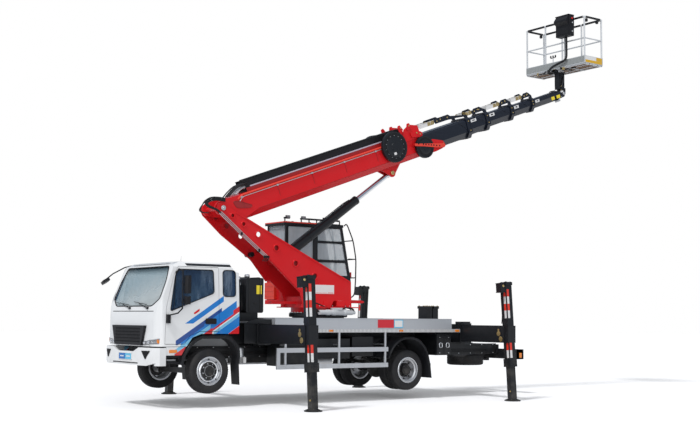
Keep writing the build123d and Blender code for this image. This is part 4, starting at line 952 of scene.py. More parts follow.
pipes = Form()
for shift in (0.0, 0.026, 0.052):
    pipes.tube([(x + shift, -0.362, z + shift * rise)
                for x, z, rise in ((0.560, 3.722, 0.4), (0.640, 3.650, 0.6), (1.055, 3.322, 0.6), (1.480, 3.000, 0.6),
                                   (1.640, 2.886, 0.6))], 0.008, 8, bend=0.06)
piece("turret_pipes", pipes, "turret", "zinc")

clamps = Form()
clamps.blocks([(x - 0.020, x + 0.020, -0.378, -0.350, z - 0.034, z + 0.030)
               for x, z in ((1.085, 3.330), (1.500, 3.012))])
clamps.turned([(-0.12, 0.001), (-0.12, 0.052), (0.12, 0.052), (0.12, 0.001)], (1.710, 0.36, 2.962), ACROSS, 24)
for x in (1.622, 1.668, 1.714):
    clamps.blocks([(x - 0.016, x + 0.016, -0.392, -0.350, 2.868, 2.912)])
    clamps.tube([(x, -0.380, 2.90), (x, -0.380, 2.85), (x - 0.05, -0.375, 2.80)], 0.010, 6)
piece("pipe_clamps", clamps, "turret", "black_plastic", bevel=0.003)

hinge_hoses = Form()
for shift in (0.0, 0.020, 0.040, 0.060):
    hinge_hoses.tube([(0.700, -0.366, 4.004 - shift), (0.570, -0.366, 4.020 - shift),
                      (0.378 + shift, -0.366, 4.012 - shift), (0.252 + shift, -0.375, 3.945 - shift * 0.6),
                      (0.236 + shift, -0.380, 3.858), (0.318 + shift, -0.380, 3.802 + shift * 0.4),
                      (0.490 + shift, -0.372, 3.768), (0.570 + shift * 0.6, -0.364, 3.716)], 0.011, 8, bend=0.08)
for shift in (0.0, 0.030):
    hinge_hoses.tube([(0.360, -0.366, 4.000), (0.230, -0.366, 3.900 + shift),
                      (0.105 + shift, -0.366, 3.740), (0.180 + shift, -0.366, 3.690), (0.330, -0.366, 3.700)],
                     0.010, 8, bend=0.08)
hinge_hoses.tube([(2.60, -0.36, 1.99), (2.72, -0.42, 2.02), (2.95, -0.50, 1.93), (3.06, -0.56, 1.87)], 0.013, 8,
                 bend=0.08)
for y in (-0.60, -0.655, -0.70):
    hinge_hoses.tube([(3.30, y, 1.845), (3.42, y - 0.01, 1.895), (3.60, y - 0.01, 1.870), (3.64, y + 0.02, 1.800)],
                     0.012, 8, bend=0.06)
    hinge_hoses.tube([(2.78, y + 0.03, 1.78), (2.70, y + 0.02, 1.86), (2.62, y + 0.10, 1.900)], 0.012, 8, bend=0.06)
piece("turret_hoses", hinge_hoses, "turret", "hose")

GEARBOX = (3.09, -0.670, 1.790)
drive = Form().turned([(0, 0.030), (0.0, 0.064), (0.07, 0.066), (0.08, 0.060), (0.28, 0.060), (0.29, 0.068),
                       (0.34, 0.068), (0.35, 0.052), (0.49, 0.052), (0.50, 0.0005)], GEARBOX, ALONG, 30)
drive.bolts([(GEARBOX[0] + 0.075, GEARBOX[1] + 0.056 * c, GEARBOX[2] + 0.056 * s) for c, s in circle(6)], ALONG,
            0.007, 0.010)
drive.blocks([(3.20, 3.30, -0.74, -0.60, 1.845, 1.885)])
piece("slew_gearbox", drive, "turret", "grey_casting", bevel=0.002)

sign = Form().plate(rect(2.883, 3.354, 2.175, 2.358), (-0.356, -0.350), corner=0.008)
piece("turret_sign", sign, "turret", "label_white")
marks = Form().blocks([(3.200, 3.330, -0.3568, -0.3555, 2.188, 2.200),
                       (2.900, 3.170, -0.3568, -0.3555, 2.188, 2.194)])
piece("sign_marks", marks, "turret", "strip_red")

# Control cabin: guard rail, pane seals, lamp racks, roof bars, console levers, red edges and seams
rail = Form().tube([(4.180, 0.440, 3.690), (4.246, 0.440, 3.747), (4.425, 0.440, 3.377), (4.507, 0.440, 2.970),
                    (4.500, 0.440, 2.500), (4.475, 0.440, 2.182), (4.380, 0.445, 2.120)], 0.014, 8, bend=0.10)
rail.tube([(4.180, 1.190, 3.690), (4.246, 1.190, 3.747), (4.425, 1.190, 3.377), (4.507, 1.190, 2.970),
           (4.475, 1.190, 2.182), (4.380, 1.185, 2.120)], 0.014, 8, bend=0.10)
for x, z in ((4.425, 3.377), (4.507, 2.970), (4.490, 2.560)):
    rail.tube([(x, 0.440, z), (x, 1.190, z)], 0.012, 8)
for x, z in ((4.300, 2.970), (4.360, 2.560)):
    rail.tube([(x, 0.440, z), (4.500, 0.440, z)], 0.010, 6)
piece("cabin_guard", rail, "turret", "black_plastic")

CABIN_LAMPS = (2.70, 3.10, 3.66, 3.92)
cabin_trim = Form()
for outline in (rect(2.716, 3.372, 2.500, 3.620), [(3.476, 2.588), (4.302, 2.588), (4.242, 2.880), (3.476, 2.880)],
                [(3.476, 2.925), (4.233, 2.925), (4.157, 3.292), (3.476, 3.292)],
                [(3.476, 3.332), (4.149, 3.332), (4.090, 3.620), (3.476, 3.620)]):
    cabin_trim.tube(in_plane(rounded_outline(outline, 0.03), 0.448), 0.007, 6, loop=True)
for z in (2.62, 3.42):
    cabin_trim.turned([(-0.05, 0.011), (0.05, 0.011)], (3.425, 0.442, z), UP, 10)
for x0, x1 in ((2.63, 2.76), (3.05, 3.72), (3.86, 4.07)):
    cabin_trim.blocks([(x0, x1, 0.46, 0.50, 3.706, 3.718), (x0, x1, 0.450, 0.500, 3.772, 3.806)])
    cabin_trim.blocks([(x, x + 0.018, 0.465, 0.490, 3.71, 3.78) for x in np.arange(x0 + 0.01, x1, 0.20)])
cabin_trim.blocks([(x - 0.05, x + 0.05, 0.42, 0.46, 3.778, 3.840) for x in CABIN_LAMPS])
for x in (2.85, 3.30, 3.75):
    cabin_trim.tube([(x, 0.46, 3.715), (x, 1.16, 3.715)], 0.012, 8)
cabin_trim.blocks([(3.780, 3.920, 0.640, 0.990, 2.740, 2.960), (3.800, 3.830, 0.700, 0.930, 2.960, 3.180)])
for y in (0.70, 0.80, 0.90):
    cabin_trim.turned([(0, 0.012), (0.10, 0.009), (0.12, 0.018), (0.15, 0.016)], (3.83, y, 2.955), UP, 12)
cabin_trim.tube([(3.95, 0.50, 2.52), (3.98, 0.50, 3.05), (3.90, 0.50, 3.58)], 0.010, 6, bend=0.1)
piece("cabin_trim", cabin_trim, "turret", "black_plastic", bevel=0.002)

lamp_faces = Form().blocks([(x - 0.044, x + 0.044, 0.417, 0.4205, 3.784, 3.834) for x in CABIN_LAMPS])
piece("cabin_lamps", lamp_faces, "turret", "lamp_lens", bevel=0.001)

red_trim = Form().blocks([(2.612, 3.43, 0.424, 0.432, 3.688, 3.712), (2.604, 2.612, 0.432, 1.195, 3.688, 3.712)])
red_trim.plate(rounded_outline(rect(0.79, 1.17, 2.06, 2.42), 0.02), (2.600, 2.661), 0)
red_trim.blocks([(2.592, 2.602, 0.82, 1.14, z - 0.006, z + 0.006) for z in (2.13, 2.24, 2.35)])
piece("cabin_red_trim", red_trim, "turret", "bright_red", bevel=0.002)
tail_lamp = Form().blocks([(4.385, 4.410, 0.470, 0.520, 2.560, 2.680)])
piece("cabin_tail_lamp", tail_lamp, "turret", "red_lens", bevel=0.004)
tub_seams = Form().blocks([(2.70, 4.34, 0.4485, 0.452, 2.428, 2.436), (3.42, 3.428, 0.4485, 0.452, 2.06, 2.44),
                           (2.70, 4.34, 0.4485, 0.452, 2.062, 2.070)])
piece("tub_seams", tub_seams, "turret", "dark_red")


# Boom: pipes along its near side, seams, painted shade in the hinge recess, hose carrier, reels, head plates and
# bolts

red_pipe = Form().tube([(0.44, -0.262, 0.060), (0.56, -0.266, 0.116), (4.36, -0.266, 0.116)], 0.020, 10, bend=0.05)
piece("boom_pipe_red", red_pipe, "boom", "bright_red", BOOM)
thin_pipes = Form().tube([(0.46, -0.283, 0.010), (0.56, -0.283, 0.078), (4.34, -0.283, 0.078)], 0.0075, 8, bend=0.05)
thin_pipes.tube([(0.50, 0.283, 0.078), (4.34, 0.283, 0.078)], 0.0075, 8)
piece("boom_pipes", thin_pipes, "boom", "zinc", BOOM)
CLAMP_S = (0.523, 1.421, 2.326, 3.211, 4.103)
pipe_clamps = Form().blocks([(s - 0.022, s + 0.022, -0.300, -0.262, 0.062, 0.096) for s in CLAMP_S])
pipe_clamps.bolts([(s, -0.300, 0.079) for s in CLAMP_S], NEARWARD, 0.010, 0.008)
piece("boom_pipe_clamps", pipe_clamps, "boom", "zinc", BOOM, bevel=0.002)

recess = rounded_outline([(0.308, 0.044), (0.410, 0.040), (0.733, -0.149), (0.660, -0.185), (0.356, -0.100)], 0.05, 5)
seams = Form().blocks([(s + 0.004, s + 0.012, -0.2745, -0.268, -0.150, 0.060) for s in CLAMP_S])
seams.blocks([(0.85, 5.40, -0.2725, -0.268, -0.247, -0.241)])
seams.tube(in_plane(recess, -0.271), 0.008, 6, loop=True)
piece("boom_seams", seams, "boom", "dark_red", BOOM)
# A plate in the hinge recess, darker red as painted shade
piece("hinge_recess_shade", Form().plate(recess, (-0.2735, -0.268)), "boom", "shaded_red", BOOM)

# The tray's skirt under its edge, darker red as painted shade
skirt = Form().blocks([(0.755, 4.995, -0.176, -0.170, 0.132, 0.212)]).mirrored()
piece("tray_skirt", skirt, "boom", "shaded_red", BOOM)
tray_edge = Form().blocks([(0.85, 4.70, -0.180, -0.1755, 0.214, 0.240)]).mirrored()
piece("tray_edge", tray_edge, "boom", "lilac", BOOM, bevel=0.001)
carrier = Form()
for y0, y1, top in ((-0.140, -0.075, 0.385), (-0.060, 0.005, 0.375), (0.020, 0.085, 0.385)):
    carrier.blocks([(s, s + 0.040, y0, y1, top - 0.055, top) for s in np.arange(0.80, 4.95, 0.052)])
    carrier.blocks([(0.80, 4.99, y0 + 0.010, y1 - 0.010, 0.16, top - 0.008)])
carrier.blocks([(0.745, 5.005, y, y + 0.006, 0.350, 0.362) for y in (-0.176, 0.170)])
piece("hose_carrier", carrier, "boom", "hose", BOOM)

fittings = Form()
for y in (-0.15, -0.09, -0.03, 0.03, 0.09):
    fittings.tube([(0.50, y, 0.150), (0.62, y, 0.215), (0.76, y, 0.240), (0.90, y, 0.240)], 0.013, 8, bend=0.06)
    fittings.bolts([(0.70, y, 0.222)], (1, 0, 0.3), 0.022, 0.05)
piece("carrier_fittings", fittings, "boom", "zinc", BOOM)
carrier_hoses = Form()
for y in (-0.19, -0.12, -0.05, 0.05):
    carrier_hoses.tube([(0.30, y, 0.155), (0.42, y - 0.01, 0.230), (0.60, y, 0.300), (0.80, y, 0.310)], 0.014, 8,
                       bend=0.08)
piece("carrier_hoses", carrier_hoses, "boom", "hose", BOOM)

REEL = (4.600, 0.040)
reels = Form()
for y, s, n, size, hand in ((-0.360, *REEL, 0.340, -1), (0.420, *REEL, 0.340, 1),
                            (-0.360, 5.438, -0.177, 0.250, -1)):
    reels.turned([(-0.004, size - 0.030), (hand * 0.006, size - 0.026), (hand * 0.010, size - 0.014),
                  (hand * 0.006, size + 0.001), (-hand * 0.020, size + 0.003), (-hand * 0.024, size - 0.010)],
                 (s, y, n), ACROSS, 72, loop=True)
    reels.turned([(-0.004, size * 0.68), (hand * 0.006, size * 0.68), (hand * 0.012, size * 0.64),
                  (hand * 0.012, size * 0.30), (hand * 0.020, size * 0.28), (hand * 0.020, 0.0005)],
                 (s, y, n), ACROSS, 56)
piece("reel_flanges", reels, "boom", "reel_black", BOOM)
reel_bolts = Form().bolts([(REEL[0] + 0.250 * c, -0.362, REEL[1] + 0.250 * s) for c, s in circle(14)], NEARWARD,
                          0.008, 0.008)
piece("reel_bolts", reel_bolts, "boom", "zinc", BOOM)
reel_label = Form().plate(rect(4.520, 4.590, -0.130, -0.075), (-0.3745, -0.370))
piece("reel_label", reel_label, "boom", "label_white", BOOM)

hole_strap = Form().plate([(5.142, -0.030), (5.448, -0.108), (5.968, -0.235), (6.018, -0.290), (5.960, -0.330),
                           (5.700, -0.262), (5.430, -0.170), (5.135, -0.085)], (-0.392, -0.384), corner=0.02)
piece("hole_straps", hole_strap.mirrored(), "boom", "bright_red", BOOM, bevel=0.002)
head = Form().plate([(5.20, -0.03), (5.77, -0.075), (6.048, -0.182), (6.093, -0.276), (5.989, -0.343),
                     (5.759, -0.365), (5.20, -0.33)], (-0.300, -0.284), corner=0.03)
head.blocks([(5.95, 6.01, -0.386, -0.296, -0.300, -0.255), (5.14, 5.19, -0.390, -0.290, -0.075, -0.035)])
head.plate([(4.870, 0.300), (4.860, 0.440), (4.930, 0.460), (5.000, 0.330)], (-0.306, -0.288), corner=0.02)
head.plate([(5.080, 0.300), (5.130, 0.440), (5.200, 0.440), (5.240, 0.290)], (-0.318, -0.300), corner=0.02)
head.plate([(5.170, 0.110), (5.160, 0.230), (5.400, 0.220), (5.500, 0.150), (5.470, 0.050)], (-0.322, -0.288),
           corner=0.02)
piece("head_plates", head.mirrored(), "boom", "red_paint", BOOM, bevel=0.003)
# Dark discs in the strap's holes are painted shade
strap_hole_shades = Form()
for s, n in ((5.249, -0.063), (5.379, -0.104), (5.448, -0.130), (5.530, -0.154), (5.600, -0.178), (5.670, -0.201),
             (5.748, -0.229), (5.832, -0.258)):
    strap_hole_shades.turned([(0, 0.018), (-0.0015, 0.018), (-0.002, 0.0005)], (s, -0.392, n), ACROSS, 14)
piece("strap_hole_shades", strap_hole_shades, "boom", "deep_black", BOOM)
head_bolts = Form().bolts([(4.925, -0.306, 0.395), (5.165, -0.318, 0.385), (5.330, -0.322, 0.180),
                           (5.420, -0.322, 0.130), (6.030, -0.300, -0.250), (LIFT_EYE[0], -0.092, LIFT_EYE[1])],
                          NEARWARD, 0.020, 0.016)
head_bolts.turned([(0, 0.050), (-0.014, 0.048), (-0.020, 0.040), (-0.020, 0.0005)],
                  (LIFT_EYE[0], -0.100, LIFT_EYE[1]), ACROSS, 26)
piece("head_bolts", head_bolts.mirrored(), "boom", "brass", BOOM)

# Each sliding section: lifted brackets over its collar, rope sheaves, a pale rope guard and collar bolts
#            section  half   under   over   head   bracket from-to  guard from
TELESCOPE = [(2, 0.238, -0.322, 0.108, 7.040, 6.030, 6.520, 5.560),
             (3, 0.212, -0.290, 0.086, 7.690, 7.250, 7.560, 7.070),
             (4, 0.187, -0.259, 0.066, 8.560, 8.210, 8.480, 7.760),
             (5, 0.163, -0.229, 0.047, 9.330, 9.020, 9.270, 8.640)]
for number, half, under, over, head, start, end, guard_start in TELESCOPE:
    body = f"section_{number}"
    lift = over + (0.115 if number == 2 else 0.077)
    brackets = Form().plate([(start, lift), (start - 0.02, lift + 0.055), (start + 0.05, lift + 0.115),
                             (end - 0.06, lift + 0.120), (end, lift + 0.070), (head, over + 0.085),
                             (head, over + 0.030), (head - 0.100, over + 0.030), (head - 0.110, over + 0.065),
                             (end, lift)],
                            (-half + 0.016, -half + 0.028), corner=0.010)
    brackets.plate(rect(head - 0.024, head + 0.004, under + 0.105, over - 0.020), (-half - 0.036, -half - 0.029))
    brackets.plate([(head - 0.36, over - 0.040), (head - 0.26, over - 0.110), (head - 0.122, under + 0.180),
                    (head - 0.122, over - 0.030)], (-half - 0.010, -half + 0.001), corner=0.02)
    piece(f"head_brackets_{number}", brackets.mirrored(), body, "black_boom", BOOM, bevel=0.002)
    sheaves = Form()
    for s, radius in ((start - 0.060, 0.046), (start + 0.060, 0.036), (start - 0.170, 0.040)):
        sheaves.turned([(0, 0.014), (0, radius), (0.004, radius), (0.007, radius - 0.010), (0.010, radius),
                        (0.014, radius), (0.014, 0.014)], (s, -half + 0.031, lift + 0.050), ACROSS, 26, loop=True)
    sheaves.mirrored()
    sheaves.blocks([(start - 0.22, start - 0.02, -half + 0.046, -half + 0.056, lift + 0.004, lift + 0.022)])
    piece(f"rope_sheaves_{number}", sheaves, body, "brass", BOOM)
    spots = [(start + 0.06, lift + 0.052), (end - 0.10, lift + 0.060), (start + 0.17, lift + 0.070)]
    pins = Form().bolts([(s, -half + 0.016, n) for s, n in spots], NEARWARD, 0.019, 0.009)
    pins.bolts([(head - 0.055, -half - 0.030, n) for n in (under + 0.150, over - 0.060)], NEARWARD, 0.016, 0.014)
    piece(f"bracket_pins_{number}", pins.mirrored(), body, "brass", BOOM)
    guard = Form().blocks([(guard_start, start - 0.02, -half + 0.049, -half + 0.055, lift, lift + 0.080)])
    guard.tube([(guard_start, -half + 0.052, lift + 0.090), (start, -half + 0.052, lift + 0.090)], 0.006, 6)
    piece(f"rope_guard_{number}", guard.mirrored(), body, "label_white", BOOM)

# Blank labels of sections 3 to 6, and the tip's labels, pins, motor and hoses
for number, start, end, low, high, half in (
        (3, 7.110, 7.290, -0.010, 0.055, 0.212), (4, 7.760, 7.930, -0.030, 0.040, 0.187),
        (5, 8.640, 8.800, -0.050, 0.020, 0.163), (6, 9.420, 9.570, -0.075, -0.010, 0.139)):
    label = Form().plate(rect(start, end, low, high), (-half - 0.0012, -half + 0.001))
    piece(f"section_label_{number}", label, f"section_{number}", "label_white", BOOM)
    marks = Form().blocks([(start + 0.05, end - 0.05, -half - 0.0020, -half - 0.001, low + 0.022, high - 0.018)])
    piece(f"section_label_mark_{number}", marks, f"section_{number}", "deep_black", BOOM)

tip_labels = Form()
for s0, s1 in ((9.998, 10.112), (10.190, 10.320)):
    tip_labels.plate(rect(s0, s1, -0.150, -0.070), (-0.1405, -0.138))
piece("tip_labels", tip_labels, "section_6", "yellow_label", BOOM)
tip_pins = Form().turned([(0, 0.040), (-0.020, 0.038), (-0.026, 0.030), (-0.026, 0.0005)], (10.500, -0.112, -0.085),
                         ACROSS, 26)
tip_pins.bolts([(10.40, -0.112, n) for n in (-0.140, -0.020)], NEARWARD, 0.014, 0.012)
piece("tip_pins", tip_pins.mirrored(), "section_6", "zinc", BOOM)
tip_motor = Form().tube([(10.24, -0.02, -0.222), (10.40, -0.02, -0.222)], 0.026, 12)
tip_motor.blocks([(10.26, 10.38, -0.06, 0.02, -0.222, -0.199)])
piece("tip_motor", tip_motor, "section_6", "grey_casting", BOOM, bevel=0.002)
tip_tag = Form().plate([(10.410, -0.040), (10.410, 0.000), (10.500, -0.004), (10.500, -0.044)], (-0.1135, -0.111))
piece("tip_tag", tip_tag, "section_6", "label_white", BOOM)
tip_hoses = Form()
for y in (-0.05, 0.0, 0.05):
    tip_hoses.tube([(10.17, y, 0.026), (10.20, y, 0.052), (10.27, y, 0.052), (10.30, y, 0.026)], 0.010, 8, bend=0.03)
piece("tip_hoses", tip_hoses, "section_6", "hose", BOOM)


# Outriggers: reflective strips, plugs on the beams, cylinder hoses, leg guides and foot plates

LEG_SPLAY = radians(4.4)
BEAM_Z = (1.190, 1.545)
OUTRIGGERS = (("front", 1.190, 2.775), ("rear", 6.260, 2.650))

SLEEVE = 0.0825
STRIPS = {"strip_red": [(2.15, 2.30), (1.86, 2.00), (1.04, 1.19)],
          "strip_white": [(2.00, 2.15), (1.70, 1.86), (0.88, 1.04)]}


def corner_beads(form, half, low, high, radius):
    """Thin beads along the four corners of a square tube."""
    for x in (-half, half):
        for y in (-half, half):
            form.tube([(x, y, low), (x, y, high)], radius, 6)


def dress_beam(end, leg_x, foot_y, side_name, hand):
    """What rides on an outrigger beam: strips, trim, bolts, ports and hoses of the leg's sleeve, plugs and edges."""
    body, where = f"{end}_{side_name}_beam", f"{end}_{side_name}"
    axes = np.array([[1, 0, 0], [0, cos(LEG_SPLAY), hand * sin(LEG_SPLAY)],
                     [0, -hand * sin(LEG_SPLAY), cos(LEG_SPLAY)]])
    leg = (np.array([AXLE_1 + leg_x, hand * foot_y, 0.0]), axes)
    for finish, rows in STRIPS.items():
        sheet = Form()
        for low, high in rows:
            sheet.blocks([(-SLEEVE - 0.0015, -SLEEVE, *span(hand, 0.000, 0.058), low, high),
                          (-0.066, -0.008, *span(hand, SLEEVE, SLEEVE + 0.0015), low, high)])
        piece(f"{finish}_{where}", sheet, body, finish, leg)

    trim = Form()
    corner_beads(trim, 0.0805, 0.88, 2.385, 0.0035)
    for low, high in ((0.700, 0.722), (0.846, 0.866)):
        for side in (-1, 1):
            limits = span(side, 0.078, 0.100)
            trim.blocks([(-0.100, 0.100, *limits, low, high), (*limits, -0.078, 0.078, low, high)])
    trim.plate(rect(-0.090, 0.090, -0.090, 0.090), (2.3885, 2.456), 2, 0.014)
    trim.blocks([(-0.222, -0.078, -0.080, 0.080, 2.235, 2.250), (-0.222, -0.078, -0.080, 0.080, 2.418, 2.434)])
    piece(f"sleeve_trim_{where}", trim, body, "black_paint", leg, bevel=0.003)

    spread = (-0.06, 0.0, 0.06)
    bolts = Form().bolts([(-0.099, y, z) for y in spread for z in (0.755, 0.810)], (-1, 0, 0), 0.011, 0.009)
    bolts.bolts([(x, hand * 0.099, z) for x in spread for z in (0.755, 0.810)], (0, hand, 0), 0.011, 0.009)
    bolts.bolts([(x, y, 2.456) for x in (-0.065, 0.065) for y in (-0.065, 0.065)], UP, 0.012, 0.010)
    bolts.turned([(0, 0.030), (0.010, 0.028), (0.016, 0.015), (0.016, 0.0005)], (0, 0, 2.456), UP, 20)
    piece(f"sleeve_bolts_{where}", bolts, body, "black_paint", leg)
    ports = Form().turned([(0, 0.026), (0.010, 0.024), (0.014, 0.016), (0.014, 0.0005)],
                          (-0.150, hand * 0.075, 2.370), (0, hand, 0), 18)
    ports.turned([(0, 0.018), (-0.008, 0.017), (-0.012, 0.0005)], (-0.0675, hand * 0.020, 0.200), ALONG, 16)
    piece(f"sleeve_ports_{where}", ports, body, "brass", leg)
    hoses = Form()
    for x in (-0.045, 0.045):
        hoses.tube([(x, -hand * y, z) for y, z in ((0.082, 2.330), (0.112, 2.310), (0.116, 2.150), (0.112, 1.760),
                                                   (0.140, 1.600))], 0.009, 8, bend=0.05)
    piece(f"leg_hoses_{where}", hoses, body, "hose", leg)

    mid = foot_y - 1.370 * sin(LEG_SPLAY)
    lane = (leg_x - 0.125, leg_x - 0.005) if hand < 0 else (leg_x + 0.005, leg_x + 0.125)
    plugs = Form()
    for y, z, radius in ((mid - 0.174, 1.452, 0.026), (mid - 0.172, 1.378, 0.052), (mid - 0.110, 1.268, 0.054)):
        plugs.turned([(0.002, radius), (-0.003, radius), (-0.004, radius * 0.8), (-0.004, 0.0005)],
                     (lane[0], hand * y, z), ALONG, 22)
    piece(f"beam_plugs_{where}", plugs, body, "brass")
    edges = Form()
    for z in (BEAM_Z[0] + 0.004, BEAM_Z[1] - 0.004):
        for x in lane:
            edges.tube([(x, hand * (mid - 0.10), z), (x, hand * (mid - 1.20), z)], 0.0038, 6)
    near_x, limits = leg_x - 0.105, span(hand, mid - 0.09, mid + 0.09)
    edges.blocks([(near_x - 0.006, near_x, *limits, z, z + 0.015) for z in (BEAM_Z[0], BEAM_Z[1] - 0.015)])
    piece(f"beam_edges_{where}", edges, body, "black_paint")
    return leg


def dress_leg(end, leg_x, foot_y, side_name, hand, leg):
    """The ribbed foot plate, and the scale marks and edges of the leg's square tube."""
    body, where = f"{end}_{side_name}_leg", f"{end}_{side_name}"
    place = np.array([leg_x, hand * foot_y, 0.0])
    foot = Form().turned([(0.000, 0.150), (0.002, 0.162), (0.012, 0.1649), (0.022, 0.160), (0.026, 0.120),
                          (0.040, 0.085), (0.052, 0.080), (0.052, 0.0005)], place, UP, 44)
    for c, s in circle(6):
        inner, outer, side = 0.06 * np.array([c, s]), 0.15 * np.array([c, s]), 0.005 * np.array([-s, c])
        flat = np.array([inner - side, outer - side, outer + side, inner + side])
        foot.grid(np.stack([in_plane(flat, 0.022, 2), in_plane(flat, (0.058, 0.030, 0.030, 0.058), 2)]) + place)
    piece(f"foot_{where}", foot, body, "black_paint")
    marks = Form().blocks([(-0.0685, -0.0668, -0.030, 0.030, z, z + 0.004) for z in np.arange(0.15, 0.68, 0.05)])
    corner_beads(marks, 0.0655, 0.05, 0.69, 0.003)
    piece(f"leg_edges_{where}", marks, body, "black_paint", leg)


for end, leg_x, foot_y in OUTRIGGERS:
    for side_name, hand in HANDS:
        leg = dress_beam(end, leg_x, foot_y, side_name, hand)
        dress_leg(end, leg_x, foot_y, side_name, hand, leg)

housing_trim = Form()
for (end, leg_x, foot_y), half, proud in zip(OUTRIGGERS, (1.100, 1.220), (0.010, 0.0015)):
    for x in (leg_x - 0.142, leg_x + 0.142):
        for z in (1.176, 1.558):
            housing_trim.tube([(x, -half, z), (x, half, z)], 0.006, 6)
    for hand in (-1, 1):
        limits = span(hand, half - 0.010, half + proud)
        housing_trim.blocks([(leg_x - 0.160, leg_x + 0.160, *limits, 1.556, 1.580),
                             (leg_x - 0.160, leg_x + 0.160, *limits, 1.150, 1.176),
                             (leg_x - 0.160, leg_x - 0.138, *limits, 1.150, 1.580),
                             (leg_x + 0.138, leg_x + 0.160, *limits, 1.150, 1.580)])
housing_trim.blocks([(0.770, 1.044, y - 0.006, y + 0.006, 1.180, 1.560) for y in (-1.05, -0.55, 0.55, 1.05)])
housing_trim.plate([(0.790, 1.590), (1.020, 1.650), (1.373, 1.640), (1.527, 1.560), (1.527, 1.544), (0.790, 1.560)],
                   (-1.104, -1.094))
housing_trim.blocks([(6.075, 6.118, -1.200, -1.194, 1.400, 1.600), (6.080, 6.500, -1.10, -1.08, 1.562, 1.618)])
piece("housing_trim", housing_trim, "chassis", "black_paint", bevel=0.002)

# Deck: folded edges, tread, dotted rail, blank signs and marker lamps; near side first, then mirrored
deck_trim = Form().blocks([(1.352, 5.848, -1.2235, -1.2195, z, z + 0.012) for z in (1.462, 1.655)])
deck_trim.blocks([(x - 0.004, x + 0.004, -1.2235, -1.2195, 1.466, 1.660) for x in (1.354, 2.86, 4.53, 5.846)])
deck_trim.blocks([(1.352, 5.848, -1.226, -1.178, 1.666, 1.674)])
piece("deck_edges", deck_trim.mirrored(), "chassis", "deck_metal", bevel=0.0015)

TREAD_STEP = 0.062
tread = Form()
for x in np.arange(1.46, 5.80, TREAD_STEP):
    shift = 0.05 * (round(x / TREAD_STEP) % 2)
    for y in np.arange(-1.10, 1.11, 0.10):
        if (x - SLEW_X) ** 2 + y ** 2 > 0.47:
            tread.plate([(x - 0.017, y + shift), (x, y + shift - 0.0055), (x + 0.017, y + shift),
                         (x, y + shift + 0.0055)], (1.6675, 1.6695), 2)
piece("deck_tread", tread, "chassis", "deck_metal")

dots = Form().blocks([(1.352, 6.088, -1.2225, -1.2195, 1.392, 1.452)]).mirrored()
piece("dotted_rail", dots, "chassis", "dotted_strip")

SIGNS = {"sign_red": ("sign_red", [(3.846, 4.264, 1.482, 1.650)]),
         "sign_white": ("label_white", [(4.285, 4.490, 1.500, 1.634)]),
         "sign_rim": ("cyan_plate", [(4.266, 4.508, 1.482, 1.500), (4.266, 4.508, 1.634, 1.650),
                                     (4.490, 4.508, 1.500, 1.634), (4.266, 4.285, 1.500, 1.634)])}
for name, (finish, rows) in SIGNS.items():
    sign = Form().blocks([(x0, x1, -1.2262, -1.2220, z0, z1) for x0, x1, z0, z1 in rows])
    piece(name, sign.mirrored(), "chassis", finish)

lamps = Form()
for x0, x1, z0, z1 in ((4.410, 4.510, 1.402, 1.442), (5.946, 6.061, 1.399, 1.445), (2.620, 2.720, 1.402, 1.442),
                       (1.400, 1.500, 1.402, 1.442)):
    lamps.plate(rect(x0, x1, z0, z1), (-1.236, -1.221), corner=0.010)
lamps.plate(rect(7.980, 8.050, 0.810, 0.920), (-1.112, -1.099), corner=0.012)
lamps.plate(rect(-0.76, -0.62, 0.83, 0.95), (8.078, 8.100), 0, 0.014)
piece("marker_lamps", lamps.mirrored(), "chassis", "amber", bevel=0.003)
tail = Form()
for y0, y1 in ((-0.90, -0.78), (-1.06, -0.92)):
    tail.plate(rect(y0, y1, 0.83, 0.95), (8.078, 8.102), 0, 0.014)
piece("tail_lamps", tail.mirrored(), "chassis", "red_lens", bevel=0.003)
tail_boards = Form().blocks([(8.070, 8.086, -1.10, -0.56, 0.800, 0.985), (7.83, 8.118, -1.100, -1.094, 0.776, 1.000),
                             (7.86, 7.90, -0.52, -0.46, 0.90, 1.10)]).mirrored()
tail_boards.tube([(8.09, -0.30, 0.86), (8.13, -0.30, 0.82), (8.13, 0.30, 0.82), (8.09, 0.30, 0.86)], 0.018, 8,
                 bend=0.05)
tail_boards.blocks([(7.9, 8.0, -0.09, 0.09, 0.72, 0.80)])
piece("tail_boards", tail_boards, "chassis", "black_plastic", bevel=0.002)

# Chassis: ribs on the side guards, boxes, tanks, caps, pipes, rail bolts and mudguard edges
guard_ribs = Form()
for low in (0.680, 1.000):
    guard_ribs.blocks([(1.400, 4.120, -1.226, -1.216, z, z + 0.006) for z in (low + 0.022, low + 0.062)])
guard_ribs.bolts([(x, -1.220, z) for x in (1.620, 2.900, 4.070) for z in (0.705, 0.745, 1.025, 1.065)], NEARWARD,
                 0.010, 0.007)
piece("side_guard_ribs", guard_ribs.mirrored(), "chassis", "bright_metal")

boxes = Form().blocks([(5.495, 5.680, -1.160, -1.148, 0.915, 1.330), (5.692, 5.877, -1.160, -1.148, 0.915, 1.330)])
boxes.blocks([(x, x + 0.012, -1.164, -1.155, 1.23, 1.32) for x in np.arange(5.50, 5.87, 0.045)])
boxes.blocks([(1.60, 2.35, -1.00, -0.56, 0.74, 1.22), (1.595, 1.606, -1.01, -0.55, 0.73, 1.23),
              (2.344, 2.356, -1.01, -0.55, 0.73, 1.23), (2.50, 3.30, -1.00, -0.56, 0.86, 1.26),
              (3.36, 3.90, -1.00, -0.56, 0.90, 1.30)])
boxes.plate([(0.62, 1.150), (0.62, 0.62), (0.645, 0.43), (0.655, 0.43), (0.635, 0.63), (0.635, 1.150)],
            (-1.095, -0.86))
boxes.mirrored()
boxes.tube([(3.96, -0.50, 1.02), (4.22, -0.62, 1.10), (4.45, -0.60, 1.22)], 0.035, 10)
